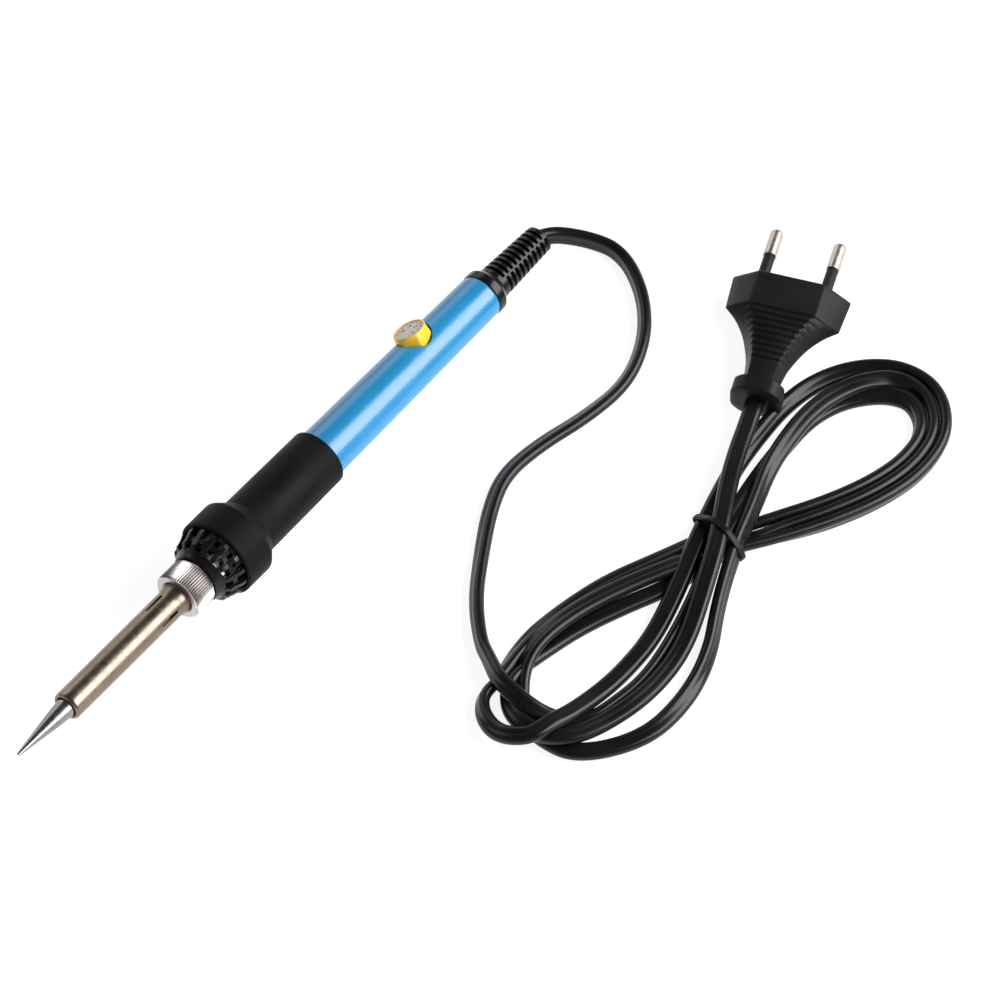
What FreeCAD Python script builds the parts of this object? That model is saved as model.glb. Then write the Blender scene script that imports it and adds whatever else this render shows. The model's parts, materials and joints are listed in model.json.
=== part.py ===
"""Mains soldering iron with an adjustable heater, built as an assembly of separate pieces.

The iron lies on a table: +X runs from the tip to the cord, +Z is up, and the origin is on
the table under the middle of the iron. Every turned piece is drawn on its own axis, with
stations counted from the tip's end, and all of them share one slightly tilted placement:
the iron rests on the grip's flange and on the rear cap. Lengths are in millimetres.
"""

import FreeCAD, Part
import math
import os

import Sketcher
from FreeCAD import Placement, Rotation, Vector

doc = FreeCAD.newDocument("SolderingIron")

# ---------------------------------------------------------------- driving dimensions

SIZES = [
    # name, value, what it is. A station is a distance from the tip's end, along the axis.
    ("NoseRadius", 0.55, "rounded working end of the tip"),
    ("NeckDia", 6.2, "tip where it leaves the barrel"),
    ("ShoulderDia", 7.4, "tip shoulder held behind the barrel's lip"),
    ("ShankDia", 6.4, "tip shank inside the barrel"),
    ("ShankEnd", 47.0, "station of the shank's open end"),
    ("TipBore", 4.1, "hole in the tip for the heater"),
    ("BarrelStart", 21.3, "station of the barrel's mouth"),
    ("BarrelDia", 9.0, "barrel tube, outside"),
    ("BarrelBore", 7.9, "barrel tube, inside"),
    ("MouthDia", 6.5, "hole in the barrel's lip"),
    ("LipDepth", 1.2, "thickness of the barrel's lip"),
    ("SwageStart", 68.5, "station where the barrel swells into the nut's hole"),
    ("SwageDia", 9.4, "barrel's swollen rear end"),
    ("CollarStart", 73.1, "station of the barrel's rear collar"),
    ("CollarDia", 10.6, "barrel's rear collar"),
    ("SlotStart", 59.8, "station where the barrel's vent slots begin"),
    ("SlotLength", 6.9, "vent slot along the barrel"),
    ("SlotWidth", 0.9, "vent slot across"),
    ("SlotRoll", 25.0, "first slot, degrees from straight up"),
    ("NutStart", 71.4, "station of the nut's front face"),
    ("NutEnd", 79.6, "station of the nut's rear face"),
    ("NutDia", 15.0, "nut over its knurl"),
    ("NutHole", 9.6, "nut's front hole, round the barrel"),
    ("NutThread", 11.2, "nut's thread, taken as a plain bore"),
    ("KnurlDepth", 0.28, "depth of the straight knurl"),
    ("BossStart", 74.2, "station of the threaded boss's front face"),
    ("BossDia", 11.0, "boss over its thread"),
    ("BossBore", 8.0, "boss, inside"),
    ("DiscStart", 82.0, "station of the boss's fixing disc"),
    ("DiscDia", 15.4, "boss's fixing disc"),
    ("DiscThick", 1.2, "thickness of the fixing disc"),
    ("ScrewCircle", 13.5, "circle of the three fixing screws"),
    ("CageStart", 79.9, "station of the cage's front face"),
    ("CageEnd", 91.2, "station of the cage's rear rim"),
    ("CageFrontDia", 15.4, "cage at its front face"),
    ("CageDia", 22.0, "cage at its rear rim"),
    ("CoreBore", 10.6, "hollow core of the handle, inside"),
    ("CoreDia", 15.6, "core under the grip, outside"),
    ("CoreStep", 128.0, "station where the blue tube begins on the core"),
    ("CoreEnd", 140.0, "station of the core's rear end"),
    ("SleeveStart", 89.0, "station of the grip's front rim"),
    ("FlangeDia", 25.1, "grip's flange"),
    ("FlangeEnd", 98.9, "station where the flange begins to fall away"),
    ("GripStart", 103.0, "station where the round grip begins"),
    ("GripFrontDia", 18.7, "grip at its front"),
    ("GripRearDia", 18.0, "grip at its rear rim"),
    ("GripEnd", 136.0, "station of the grip's rear rim"),
    ("TubeEnd", 210.5, "station of the blue tube's rear end"),
    ("TubeRearDia", 13.6, "blue tube at its rear end"),
    ("TubeWall", 1.2, "wall of the blue tube"),
    ("CapDia", 14.0, "rear cap"),
    ("CapEdge", 213.2, "station where the cap begins to fall away"),
    ("CapEnd", 215.3, "station of the cap's rear face"),
    ("BootStartDia", 10.4, "cord boot at the cap"),
    ("BootEndDia", 8.6, "cord boot at its end"),
    ("BootEnd", 237.2, "station of the boot's end"),
    ("BootBore", 4.6, "boot's bore for the cord"),
    ("BootPitch", 1.98, "spacing of the boot's ribs"),
    ("HeaterDia", 3.96, "ceramic heater rod"),
    ("HeaterStart", 26.0, "station of the heater's front end"),
    ("HeaterEnd", 88.0, "station of the heater's rear end"),
    ("KnobStation", 183.4, "station of the temperature knob"),
    ("KnobRoll", 36.5, "knob's axis, degrees from straight up"),
    ("KnobDia", 10.8, "knob across"),
    ("KnobTop", 8.9, "knob's top above the handle's axis"),
    ("KnobBase", 3.0, "knob's underside above the handle's axis"),
    ("KnobHole", 11.5, "hole in the blue tube for the knob"),
    ("DialDia", 8.4, "printed dial in the knob's top"),
    ("SpindleDia", 3.0, "potentiometer spindle"),
    ("BoardTop", -1.2, "component face of the circuit board, from the axis"),
    ("BoardThick", 1.2, "thickness of the circuit board"),
    ("BoardWidth", 9.8, "width of the circuit board"),
    ("BoardStart", 142.0, "station of the board's front edge"),
    ("BoardEnd", 200.0, "station of the board's rear edge"),
    ("CordDia", 4.5, "round tube that stands for the flat twin cord"),
    ("PlugHalf", 6.5, "half the plug's thickness"),
    ("PlugFront", 17.6, "half the plug's width at its face"),
    ("PinSpacing", 18.6, "distance between the plug's pins"),
    ("PinDia", 4.0, "plug pin"),
    ("PinLength", 18.5, "plug pin, from the plug's face"),
    ("PinSleeve", 9.5, "insulated part of each pin"),
    ("PinSleeveDia", 3.4, "insulating sleeve on each pin"),
    ("PinNeckDia", 2.8, "plug pin under its sleeve and in the bridge"),
    ("BundleHeight", 8.2, "height of the tied bundle of cord"),
    ("TieWidth", 1.8, "width of the tie round the bundle"),
    ("TieThick", 0.8, "thickness of the tie"),
]

sheet = doc.addObject("Spreadsheet::Sheet", "Sizes")
for row, (name, value, note) in enumerate(SIZES, start=1):
    sheet.set(f"A{row}", name)
    sheet.set(f"B{row}", str(value))
    sheet.setAlias(f"B{row}", name)
    sheet.set(f"C{row}", note)
doc.recompute()


def size(name):
    """The present value of a cell."""
    return float(getattr(sheet, name))


def cell(name, plus=0.0, times=1.0):
    """A length worked out from one cell: its value, and the formula that binds it."""
    return size(name) * times + plus, f"Sizes.{name} * {times} {plus:+}"


def half(name, plus=0.0):
    """A radius worked out from a diameter's cell."""
    return cell(name, plus, 0.5)


# ---------------------------------------------------------------- placements

REST_DROP = (size("FlangeDia") - size("CapDia")) / 2
TILT = math.atan(REST_DROP / (size("CapEdge") - size("FlangeEnd")))
AXIS_HEIGHT = size("FlangeEnd") * math.sin(TILT) + size("FlangeDia") / 2 * math.cos(TILT)
FRONT_REACH = size("NoseRadius") * math.sin(TILT)
REAR_REACH = size("BootEnd") * math.cos(TILT) + size("BootEndDia") / 2 * math.sin(TILT)
AXIS_START = -(REAR_REACH - FRONT_REACH) / 2

on_axis = Placement(
    Vector(AXIS_START, 0, AXIS_HEIGHT), Rotation(Vector(0, 1, 0), math.degrees(TILT))
)
on_knob_side = on_axis * Placement(
    Vector(0, 0, 0), Rotation(Vector(1, 0, 0), -size("KnobRoll"))
)
on_table = Placement()

PLUG_YAW = 22.7
on_plug = Placement(
    Vector(148.43, -67.95, size("PlugHalf")), Rotation(Vector(0, 0, 1), PLUG_YAW)
)

# ---------------------------------------------------------------- building helpers

nodes = {}


def keep(piece, label, placement):
    """Name a finished sub-part, put it in its place and list it for export."""
    piece.Label = label
    piece.Placement = placement
    nodes[label] = piece
    return piece


def bind(piece, **terms):
    """Set properties from numbers or from cell() terms, which stay bound to the sheet."""
    for prop, term in terms.items():
        if isinstance(term, tuple):
            setattr(piece, prop, term[0])
            piece.setExpression(prop, term[1])
        else:
            setattr(piece, prop, term)
    return piece


def attached_sketch(body, name):
    """A sketch on the body's own XY plane."""
    plane = next(f for f in body.Origin.OriginFeatures if f.Role == "XY_Plane")
    sketch = body.newObject("Sketcher::SketchObject", name)
    sketch.AttachmentSupport = [(plane, "")]
    sketch.MapMode = "FlatFace"
    return sketch


def dimension(sketch, kind, axis, corner, term):
    """Fix one coordinate of a corner, or put the corner on the axis where it is zero."""
    value, formula = term if isinstance(term, tuple) else (term, None)
    if value == 0:
        sketch.addConstraint(Sketcher.Constraint("PointOnObject", corner, 1, axis))
        return
    index = sketch.addConstraint(Sketcher.Constraint(kind, -1, 1, corner, 1, value))
    if formula:
        sketch.setExpression(f"Constraints[{index}]", formula)


def turned(name, outline):
    """A body turned about the X axis from a closed outline of (station, radius) corners."""
    body = doc.addObject("PartDesign::Body", name)
    sketch = attached_sketch(body, name + "_outline")
    values = [
        tuple(term[0] if isinstance(term, tuple) else term for term in corner)
        for corner in outline
    ]
    count = len(values)
    for i in range(count):
        start = Vector(*values[i], 0)
        end = Vector(*values[(i + 1) % count], 0)
        sketch.addGeometry(Part.LineSegment(start, end), False)
    for i in range(count):
        sketch.addConstraint(Sketcher.Constraint("Coincident", i, 2, (i + 1) % count, 1))
    for i, (station, radius) in enumerate(outline):
        dimension(sketch, "DistanceX", -2, i, station)
        dimension(sketch, "DistanceY", -1, i, radius)
    turn = body.newObject("PartDesign::Revolution", name + "_turned")
    turn.Profile = sketch
    turn.ReferenceAxis = (sketch, ["H_Axis"])
    turn.Angle = 360
    sketch.Visibility = False
    doc.recompute()
    return body


def rounded(body, radius, rings):
    """Fillet the circular edges that lie at the given (station, radius) places."""
    base = body.Tip
    edges = []
    for number, edge in enumerate(base.Shape.Edges, start=1):
        if not isinstance(edge.Curve, Part.Circle):
            continue
        for ring_station, ring_radius in rings:
            near = abs(edge.Curve.Center.x - ring_station) < 0.01
            if near and abs(edge.Curve.Radius - ring_radius) < 0.01:
                edges.append(f"Edge{number}")
    fillet = body.newObject("PartDesign::Fillet", body.Name + "_rounding")
    fillet.Base = (base, edges)
    fillet.Radius = radius
    body.Tip = fillet
    doc.recompute()
    return body


def box(name, low, high):
    """A block between two corners."""
    block = doc.addObject("Part::Box", name)
    block.Length, block.Width, block.Height = (b - a for a, b in zip(low, high))
    block.Placement = Placement(Vector(*low), Rotation())
    return block


def rod(name, start, direction, radius, length):
    """A cylinder from a start point along a direction; radius and length may be cell() terms."""
    cylinder = doc.addObject("Part::Cylinder", name)
    bind(cylinder, Radius=radius, Height=length)
    turn = Rotation(Vector(0, 0, 1), Vector(*direction))
    cylinder.Placement = Placement(Vector(*start), turn)
    return cylinder


def joined(name, pieces):
    """Several separate solids kept as one group."""
    group = doc.addObject("Part::Compound", name)
    group.Links = pieces
    return group


def less(name, base, tools):
    """The base with the tools cut out of it."""
    cut = doc.addObject("Part::Cut", name)
    cut.Base = base
    cut.Tool = tools[0] if len(tools) == 1 else joined(name + "_tools", tools)
    return cut


def solid(name, shape):
    """A piece whose form is worked out with Part's own functions."""
    feature = doc.addObject("Part::Feature", name)
    feature.Shape = shape
    return feature


def rolled(piece, degrees):
    """Turn a piece about the iron's axis, counted from +Z towards +Y."""
    piece.Placement = Placement(Vector(), Rotation(Vector(1, 0, 0), -degrees)) * piece.Placement
    return piece


def route_wire(points):
    """Straight runs joined by tangent arcs, each as large as its two runs allow."""
    corners = [Vector(*p) for p in points]
    edges = []
    radii = []
    last = corners[0]
    for before, corner, after in zip(corners, corners[1:], corners[2:]):
        back = before - corner
        ahead = after - corner
        trim = 0.45 * min(back.Length, ahead.Length)
        half_turn = (math.pi - back.getAngle(ahead)) / 2
        radii.append(trim / math.tan(half_turn))
        back.normalize()
        ahead.normalize()
        start = corner + back * trim
        end = corner + ahead * trim
        inward = (back + ahead).normalize()
        depth = radii[-1] / math.cos(half_turn) - radii[-1]
        edges.append(Part.LineSegment(last, start).toShape())
        edges.append(Part.Arc(start, corner + inward * depth, end).toShape())
        last = end
    edges.append(Part.LineSegment(last, corners[-1]).toShape())
    return Part.Wire(edges), radii


def tube_along(points, radius):
    """A round tube that follows a route, checked against its section times its length."""
    wire, radii = route_wire(points)
    start, ahead = Vector(*points[0]), Vector(*points[1])
    ring = Part.Wire(Part.makeCircle(radius, start, ahead - start))
    tube = wire.makePipeShell([ring], True, False)
    expected = math.pi * radius**2 * wire.Length
    if abs(tube.Volume - expected) > 0.01 * expected:
        raise RuntimeError("a tube along a route has the wrong volume")
    return tube, radii, wire.Length


# ---------------------------------------------------------------- tip and barrel

tip = turned("Tip", [
    (0, 0),
    (0, cell("NoseRadius")),
    (8.0, 1.55),
    (15.0, 2.45),
    (cell("BarrelStart", -0.3), half("NeckDia")),
    (cell("BarrelStart", 1.3), half("NeckDia")),
    (cell("BarrelStart", 1.3), half("ShoulderDia")),
    (cell("BarrelStart", 3.3), half("ShoulderDia")),
    (cell("BarrelStart", 3.3), half("ShankDia")),
    (cell("ShankEnd"), half("ShankDia")),
    (cell("ShankEnd"), half("TipBore")),
    (cell("HeaterStart", -1.0), half("TipBore")),
    (cell("HeaterStart", -1.0), 0),
])
keep(tip, "soldering_tip", on_axis)

barrel = turned("Barrel", [
    (cell("BarrelStart"), half("MouthDia")),
    (cell("BarrelStart"), half("BarrelDia")),
    (cell("SwageStart"), half("BarrelDia")),
    (cell("SwageStart", 0.6), half("SwageDia")),
    (cell("CollarStart"), half("SwageDia")),
    (cell("CollarStart"), half("CollarDia")),
    (cell("CollarStart", 1.0), half("CollarDia")),
    (cell("CollarStart", 1.0), half("BarrelBore")),
    (cell("BarrelStart", size("LipDepth")), half("BarrelBore")),
    (cell("BarrelStart", size("LipDepth")), half("MouthDia")),
])
rounded(barrel, 0.9, [(size("BarrelStart"), size("BarrelDia") / 2)])
slots = []
for quarter in range(4):
    slot = doc.addObject("Part::Box", f"Slot{quarter}")
    bind(slot, Length=cell("SlotLength"), Width=cell("SlotWidth"), Height=cell("BarrelDia"))
    slot.Placement = Placement(Vector(size("SlotStart"), -size("SlotWidth") / 2, 2.0), Rotation())
    slots.append(rolled(slot, size("SlotRoll") + 90 * quarter))
keep(less("BarrelSlotted", barrel, slots), "barrel_tube", on_axis)

# ---------------------------------------------------------------- nut

TEETH = 60


def knurled_prism(start, end, radius, depth, teeth):
    """A prism along X whose edge is a straight knurl."""
    corners = []
    for step in range(2 * teeth):
        reach = radius if step % 2 == 0 else radius - depth
        angle = math.pi * step / teeth
        corners.append(Vector(start, reach * math.sin(angle), reach * math.cos(angle)))
    face = Part.Face(Part.makePolygon(corners + corners[:1]))
    return face.extrude(Vector(end - start, 0, 0))


knurl = solid("Knurl", knurled_prism(
    size("NutStart") - 1, size("NutEnd") + 1, size("NutDia") / 2, size("KnurlDepth"), TEETH
))
nut_blank = turned("NutBlank", [
    (cell("NutStart"), half("NutHole")),
    (cell("NutStart"), half("NutDia", -0.55)),
    (cell("NutStart", 0.5), half("NutDia")),
    (cell("NutEnd", -0.3), half("NutDia")),
    (cell("NutEnd"), half("NutDia", -0.3)),
    (cell("NutEnd"), half("NutThread")),
    (cell("CollarStart", -0.1), half("NutThread")),
    (cell("CollarStart", -0.1), half("NutHole")),
])
nut = doc.addObject("Part::Common", "Nut")
nut.Base, nut.Tool = nut_blank, knurl
keep(nut, "lock_nut", on_axis)

# ---------------------------------------------------------------- boss, heater and leads

boss_blank = turned("BossBlank", [
    (cell("BossStart"), half("BossBore")),
    (cell("BossStart"), half("BossDia")),
    (cell("DiscStart"), half("BossDia")),
    (cell("DiscStart"), half("DiscDia")),
    (cell("DiscStart", size("DiscThick")), half("DiscDia")),
    (cell("DiscStart", size("DiscThick")), half("BossBore")),
])

SCREW_ROLLS = (60, 180, 300)
SCREW_DIA = 1.6
SCREW_GAP = 0.05
SCREW_REACH = 1.3


def screw_spot(roll):
    """A fixing screw's centre on the screw circle, across the axis."""
    reach = size("ScrewCircle") / 2
    return reach * math.sin(math.radians(roll)), reach * math.cos(math.radians(roll))


def screw_hole(name, roll, start, length):
    """A round hole along the axis for a fixing screw."""
    return rod(name, (start, *screw_spot(roll)), (1, 0, 0), SCREW_DIA / 2 + SCREW_GAP, length)


disc_holes = [
    screw_hole(f"DiscHole{roll}", roll, size("DiscStart") - 0.5, size("DiscThick") + 1)
    for roll in SCREW_ROLLS
]
keep(less("Boss", boss_blank, disc_holes), "threaded_boss", on_axis)

screws = []
head_start = size("DiscStart") + size("DiscThick")
for roll in SCREW_ROLLS:
    shank_start = size("DiscStart") - SCREW_REACH
    y, z = screw_spot(roll)
    shank = rod(
        f"Shank{roll}", (shank_start, y, z), (1, 0, 0), SCREW_DIA / 2, head_start - shank_start
    )
    head = rod(f"Head{roll}", (head_start, y, z), (1, 0, 0), 1.5, 1.1)
    cross = box(f"Cross{roll}", (head_start + 0.6, y - 0.2, z - 1.1), (head_start + 2, y + 0.2, z + 1.1))
    screw = doc.addObject("Part::Fuse", f"Screw{roll}")
    screw.Base, screw.Tool = shank, head
    screws.append(less(f"SlottedScrew{roll}", screw, [cross]))
keep(joined("BossScrews", screws), "boss_screws", on_axis)

heater = rod(
    "Heater", (size("HeaterStart"), 0, 0), (1, 0, 0), half("HeaterDia"),
    size("HeaterEnd") - size("HeaterStart"),
)
keep(joined("HeaterRod", [heater]), "heater_rod", on_axis)

keep(turned("HeaterCollar", [
    (cell("BossStart", 4.0), half("HeaterDia", 0.02)),
    (cell("BossStart", 4.0), half("BossBore", -0.05)),
    (cell("DiscStart", 2.5), half("BossBore", -0.05)),
    (cell("DiscStart", 2.5), half("HeaterDia", 0.02)),
]), "heater_collar", on_axis)

LEAD_SPOTS = ((-1.0, 0.8), (-1.0, -0.5), (1.0, -0.5), (1.0, 0.8))
LEAD_RADIUS = 0.25
lead_top = size("BoardTop") + LEAD_RADIUS + 0.05
leads = []
sleeves = []
for number, (side, height) in enumerate(LEAD_SPOTS):
    spread = side * (1.4 + 2.0 * (height > 0))
    route = [
        (size("HeaterEnd"), side, height),
        (size("HeaterEnd") + 12, side, height),
        (size("BoardStart") - 14, spread, height),
        (size("BoardStart") + 0.5, spread, lead_top + 0.3),
        (size("BoardStart") + 3.0, spread, lead_top),
    ]
    leads.append(solid(f"Lead{number}", tube_along(route, LEAD_RADIUS)[0]))
    sleeve_start = size("HeaterEnd") + 1.0
    sleeve_outer = Part.makeCylinder(
        0.6, 10.0, Vector(sleeve_start, side, height), Vector(1, 0, 0)
    )
    sleeve_inner = Part.makeCylinder(
        LEAD_RADIUS + 0.05, 10.0, Vector(sleeve_start, side, height), Vector(1, 0, 0)
    )
    sleeves.append(solid(f"LeadSleeve{number}", sleeve_outer.cut(sleeve_inner)))
keep(joined("HeaterLeads", leads), "heater_leads", on_knob_side)
keep(joined("LeadSleeves", sleeves), "lead_sleeves", on_knob_side)

# ---------------------------------------------------------------- cage, core and grip

RIBS = 16
RIB_THICK = 1.25
cage_shell = turned("CageShell", [
    (cell("CageStart"), half("BossDia", 0.1)),
    (cell("CageStart"), half("CageFrontDia")),
    (cell("CageStart", 1.7), 8.5),
    (cell("CageStart", 3.6), 9.7),
    (cell("CageStart", 5.4), 10.0),
    (cell("CageStart", 7.0), 10.5),
    (cell("CageEnd"), 10.5),
    (cell("CageEnd"), 9.4),
    (cell("CageStart", 7.0), 9.4),
    (cell("CageStart", 3.6), 8.6),
    (cell("DiscStart"), 7.9),
    (cell("DiscStart"), half("BossDia", 0.1)),
])


def rib_plate(roll):
    """One fin of the cage, standing proud of its shell."""
    start = size("CageStart")
    corners = [
        (start + 1.5, 8.1), (start + 3.3, 10.3), (start + 5.0, 10.6), (start + 7.3, 11.5),
        (start + 8.8, 11.5), (start + 9.4, size("CageDia") / 2), (size("CageEnd"), size("CageDia") / 2),
        (size("CageEnd"), 9.5), (start + 7.0, 9.5), (start + 3.6, 8.7),
    ]
    wire = Part.makePolygon([Vector(x, -RIB_THICK / 2, z) for x, z in corners + corners[:1]])
    plate = Part.Face(wire).extrude(Vector(0, RIB_THICK, 0))
    plate.rotate(Vector(), Vector(1, 0, 0), -roll)
    return plate


def cage_window(roll, start, length, width):
    """A vent between two fins."""
    window = Part.makeBox(length, width, 8.0, Vector(size("CageStart") + start, -width / 2, 7.4))
    window.rotate(Vector(), Vector(1, 0, 0), -roll)
    return window


rib_rolls = [360 / RIBS * number for number in range(RIBS)]
fins = solid("CageFins", Part.makeCompound([rib_plate(roll) for roll in rib_rolls]))
vents = solid("CageVents", Part.makeCompound(
    [cage_window(roll + 180 / RIBS, 2.5, 2.3, 2.1) for roll in rib_rolls]
    + [cage_window(roll + 180 / RIBS, 6.3, 3.2, 2.5) for roll in rib_rolls]
))
cage_screw_holes = [
    screw_hole(f"CageHole{roll}", roll, size("DiscStart") - SCREW_REACH - 0.1, SCREW_REACH + 0.2)
    for roll in SCREW_ROLLS
]
finned = doc.addObject("Part::Fuse", "FinnedCage")
finned.Base, finned.Tool = cage_shell, fins
keep(less("Cage", finned, [vents] + cage_screw_holes), "front_cage", on_axis)

keep(turned("Core", [
    (cell("CageEnd"), half("CoreBore")),
    (cell("CageEnd"), half("CageDia")),
    (cell("CageEnd", 1.2), half("CageDia")),
    (cell("CageEnd", 1.2), half("CoreDia")),
    (cell("CoreStep"), half("CoreDia")),
    (cell("CoreStep"), half("CoreDia", -size("TubeWall") - 0.05)),
    (cell("CoreEnd"), half("CoreDia", -size("TubeWall") - 0.15)),
    (cell("CoreEnd"), half("CoreBore")),
]), "core_tube", on_axis)

sleeve = turned("Sleeve", [
    (cell("SleeveStart"), half("CageDia", 0.05)),
    (cell("SleeveStart"), half("FlangeDia")),
    (cell("FlangeEnd"), half("FlangeDia")),
    (cell("GripStart"), half("GripFrontDia")),
    (cell("GripEnd"), half("GripRearDia")),
    (cell("GripEnd"), half("CoreDia")),
    (cell("CageEnd", 1.2), half("CoreDia")),
    (cell("CageEnd", 1.2), half("CageDia", 0.05)),
])
rounded(sleeve, 1.0, [
    (size("SleeveStart"), size("FlangeDia") / 2),
    (size("FlangeEnd"), size("FlangeDia") / 2),
    (size("GripEnd"), size("GripRearDia") / 2),
])
keep(sleeve, "grip_sleeve", on_axis)

# ---------------------------------------------------------------- blue handle tube and knob

tube_blank = turned("TubeBlank", [
    (cell("CoreStep"), half("CoreDia", -size("TubeWall"))),
    (cell("CoreStep"), half("CoreDia")),
    (cell("GripEnd"), half("CoreDia")),
    (cell("TubeEnd"), half("TubeRearDia")),
    (cell("TubeEnd"), half("TubeRearDia", -size("TubeWall"))),
    (cell("GripEnd"), half("CoreDia", -size("TubeWall"))),
])
knob_hole = rod(
    "KnobHole", (size("KnobStation"), 0, 0), (0, 0, 1), half("KnobHole"), cell("CapDia")
)
rolled(knob_hole, size("KnobRoll"))
keep(less("HandleTube", tube_blank, [knob_hole]), "handle_tube", on_axis)

knob_at = on_knob_side * Placement(Vector(size("KnobStation"), 0, 0), Rotation())
knob_blank = rod(
    "KnobBlank", (0, 0, size("KnobBase")), (0, 0, 1), half("KnobDia"),
    size("KnobTop") - size("KnobBase"),
)
knob_round = doc.addObject("Part::Fillet", "KnobRounded")
knob_round.Base = knob_blank
doc.recompute()
top_edges = [
    (number, 0.4, 0.4)
    for number, edge in enumerate(knob_blank.Shape.Edges, start=1)
    if isinstance(edge.Curve, Part.Circle) and edge.Curve.Center.z > size("KnobTop") - 0.1
]
knob_round.Edges = top_edges
DIAL_DEPTH = 0.7
dial_seat = rod(
    "DialSeat", (0, 0, size("KnobTop") - DIAL_DEPTH), (0, 0, 1), half("DialDia", 0.05), 2.0
)
spindle_seat = rod(
    "SpindleSeat", (0, 0, size("KnobBase") - 1), (0, 0, 1), half("SpindleDia", 0.02), 4.5
)
skirt_hollow = rod("SkirtHollow", (0, 0, size("KnobBase") - 1), (0, 0, 1), 4.6, 3.0)
hub = rod("Hub", (0, 0, size("KnobBase") - 2), (0, 0, 1), 2.4, 6.0)
hollow = less("SkirtRing", skirt_hollow, [hub])
keep(less("Knob", knob_round, [dial_seat, spindle_seat, hollow]), "temperature_knob", knob_at)

dial = rod(
    "Dial", (0, 0, size("KnobTop") - DIAL_DEPTH), (0, 0, 1), half("DialDia"), DIAL_DEPTH - 0.3
)
keep(joined("KnobDial", [dial]), "knob_dial", knob_at)

SPINDLE_LOW = 1.0
spindle = rod(
    "Spindle", (0, 0, SPINDLE_LOW), (0, 0, 1), half("SpindleDia"),
    size("KnobBase") + 3.4 - SPINDLE_LOW,
)
keep(joined("PotSpindle", [spindle]), "pot_spindle", knob_at)

# ---------------------------------------------------------------- control circuit

board_top = size("BoardTop")
board = doc.addObject("Part::Box", "Board")
bind(
    board,
    Length=size("BoardEnd") - size("BoardStart"),
    Width=cell("BoardWidth"),
    Height=cell("BoardThick"),
)
board.Placement = Placement(
    Vector(size("BoardStart"), -size("BoardWidth") / 2, board_top - size("BoardThick")), Rotation()
)
keep(joined("CircuitBoard", [board]), "circuit_board", on_knob_side)

POT_HALF = 4.5
POT_TOP = 2.4
pot_case = box(
    "PotCase",
    (size("KnobStation") - POT_HALF, -POT_HALF, board_top),
    (size("KnobStation") + POT_HALF, POT_HALF, POT_TOP),
)
pot_well = rod(
    "PotWell", (size("KnobStation"), 0, SPINDLE_LOW - 0.3), (0, 0, 1),
    half("SpindleDia", 0.05), 4.0,
)
keep(less("PotBody", pot_case, [pot_well]), "pot_body", on_knob_side)

TRIAC_START = 148.0
triac_case = box("TriacCase", (TRIAC_START, -3.6, board_top), (TRIAC_START + 10, 3.6, board_top + 2.8))
triac_hole = rod("TriacHole", (TRIAC_START + 2.6, 0, board_top - 1), (0, 0, 1), 1.5, 5.0)
triac_body = less("TriacBody", triac_case, [triac_hole])
legs = [
    box(f"TriacLeg{i}", (TRIAC_START + 10, y - 0.35, board_top + 0.4),
        (TRIAC_START + 13, y + 0.35, board_top + 0.9))
    for i, y in enumerate((-2.3, 0.0, 2.3))
]
triac = doc.addObject("Part::MultiFuse", "TriacWhole")
triac.Shapes = [triac_body] + legs
keep(triac, "triac", on_knob_side)

capacitor = box("CapacitorCase", (166.0, -3.4, board_top), (175.0, 3.4, board_top + 4.2))
capacitor_rounded = doc.addObject("Part::Fillet", "CapacitorRounded")
capacitor_rounded.Base = capacitor
doc.recompute()
capacitor_rounded.Edges = [
    (number, 0.6, 0.6)
    for number, edge in enumerate(capacitor.Shape.Edges, start=1)
    if min(v.Z for v in edge.Vertexes) > board_top + 4.1
]
keep(capacitor_rounded, "film_capacitor", on_knob_side)


def axial_part(name, station, body_radius, body_length, height):
    """A component that lies across the board with a lead at each end."""
    centre = board_top + height
    case = rod(name + "Case", (station, -body_length / 2, centre), (0, 1, 0), body_radius, body_length)
    lead = rod(name + "Lead", (station, -4.2, centre), (0, 1, 0), 0.3, 8.4)
    whole = doc.addObject("Part::Fuse", name)
    whole.Base, whole.Tool = case, lead
    return whole


resistors = [
    axial_part(f"Resistor{i}", station, 1.1, 5.6, 1.2)
    for i, station in enumerate((163.0, 190.6, 193.6))
]
keep(joined("Resistors", resistors), "resistors", on_knob_side)
keep(axial_part("Diac", 195.7, 0.8, 3.6, 0.9), "diac", on_knob_side)

# ---------------------------------------------------------------- rear cap, boot and cord tail

CAP_PLUG_START = 204.0
cap = turned("Cap", [
    (CAP_PLUG_START, 4.9),
    (CAP_PLUG_START, 5.5),
    (cell("TubeEnd"), 5.5),
    (cell("TubeEnd"), half("CapDia")),
    (cell("CapEdge"), half("CapDia")),
    (cell("CapEnd"), half("BootStartDia", 0.1)),
    (cell("CapEnd"), 4.0),
    (CAP_PLUG_START + 4, 4.0),
    (CAP_PLUG_START + 4, 4.9),
])
rounded(cap, 0.5, [(size("CapEdge"), size("CapDia") / 2)])
keep(cap, "rear_cap", on_axis)

boot_blank = turned("BootBlank", [
    (CAP_PLUG_START + 2, half("BootBore")),
    (CAP_PLUG_START + 2, 4.8),
    (CAP_PLUG_START + 4, 4.8),
    (CAP_PLUG_START + 4, 3.95),
    (cell("CapEnd"), 3.95),
    (cell("CapEnd"), half("BootStartDia")),
    (cell("BootEnd"), half("BootEndDia")),
    (cell("BootEnd"), half("BootBore")),
])
rounded(boot_blank, 1.2, [(size("BootEnd"), size("BootEndDia") / 2)])

BOOT_GROOVES = 10
GROOVE_WIDTH = 0.95
GROOVE_FLOOR = 3.35
GROOVE_ARC = 138.0


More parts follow.
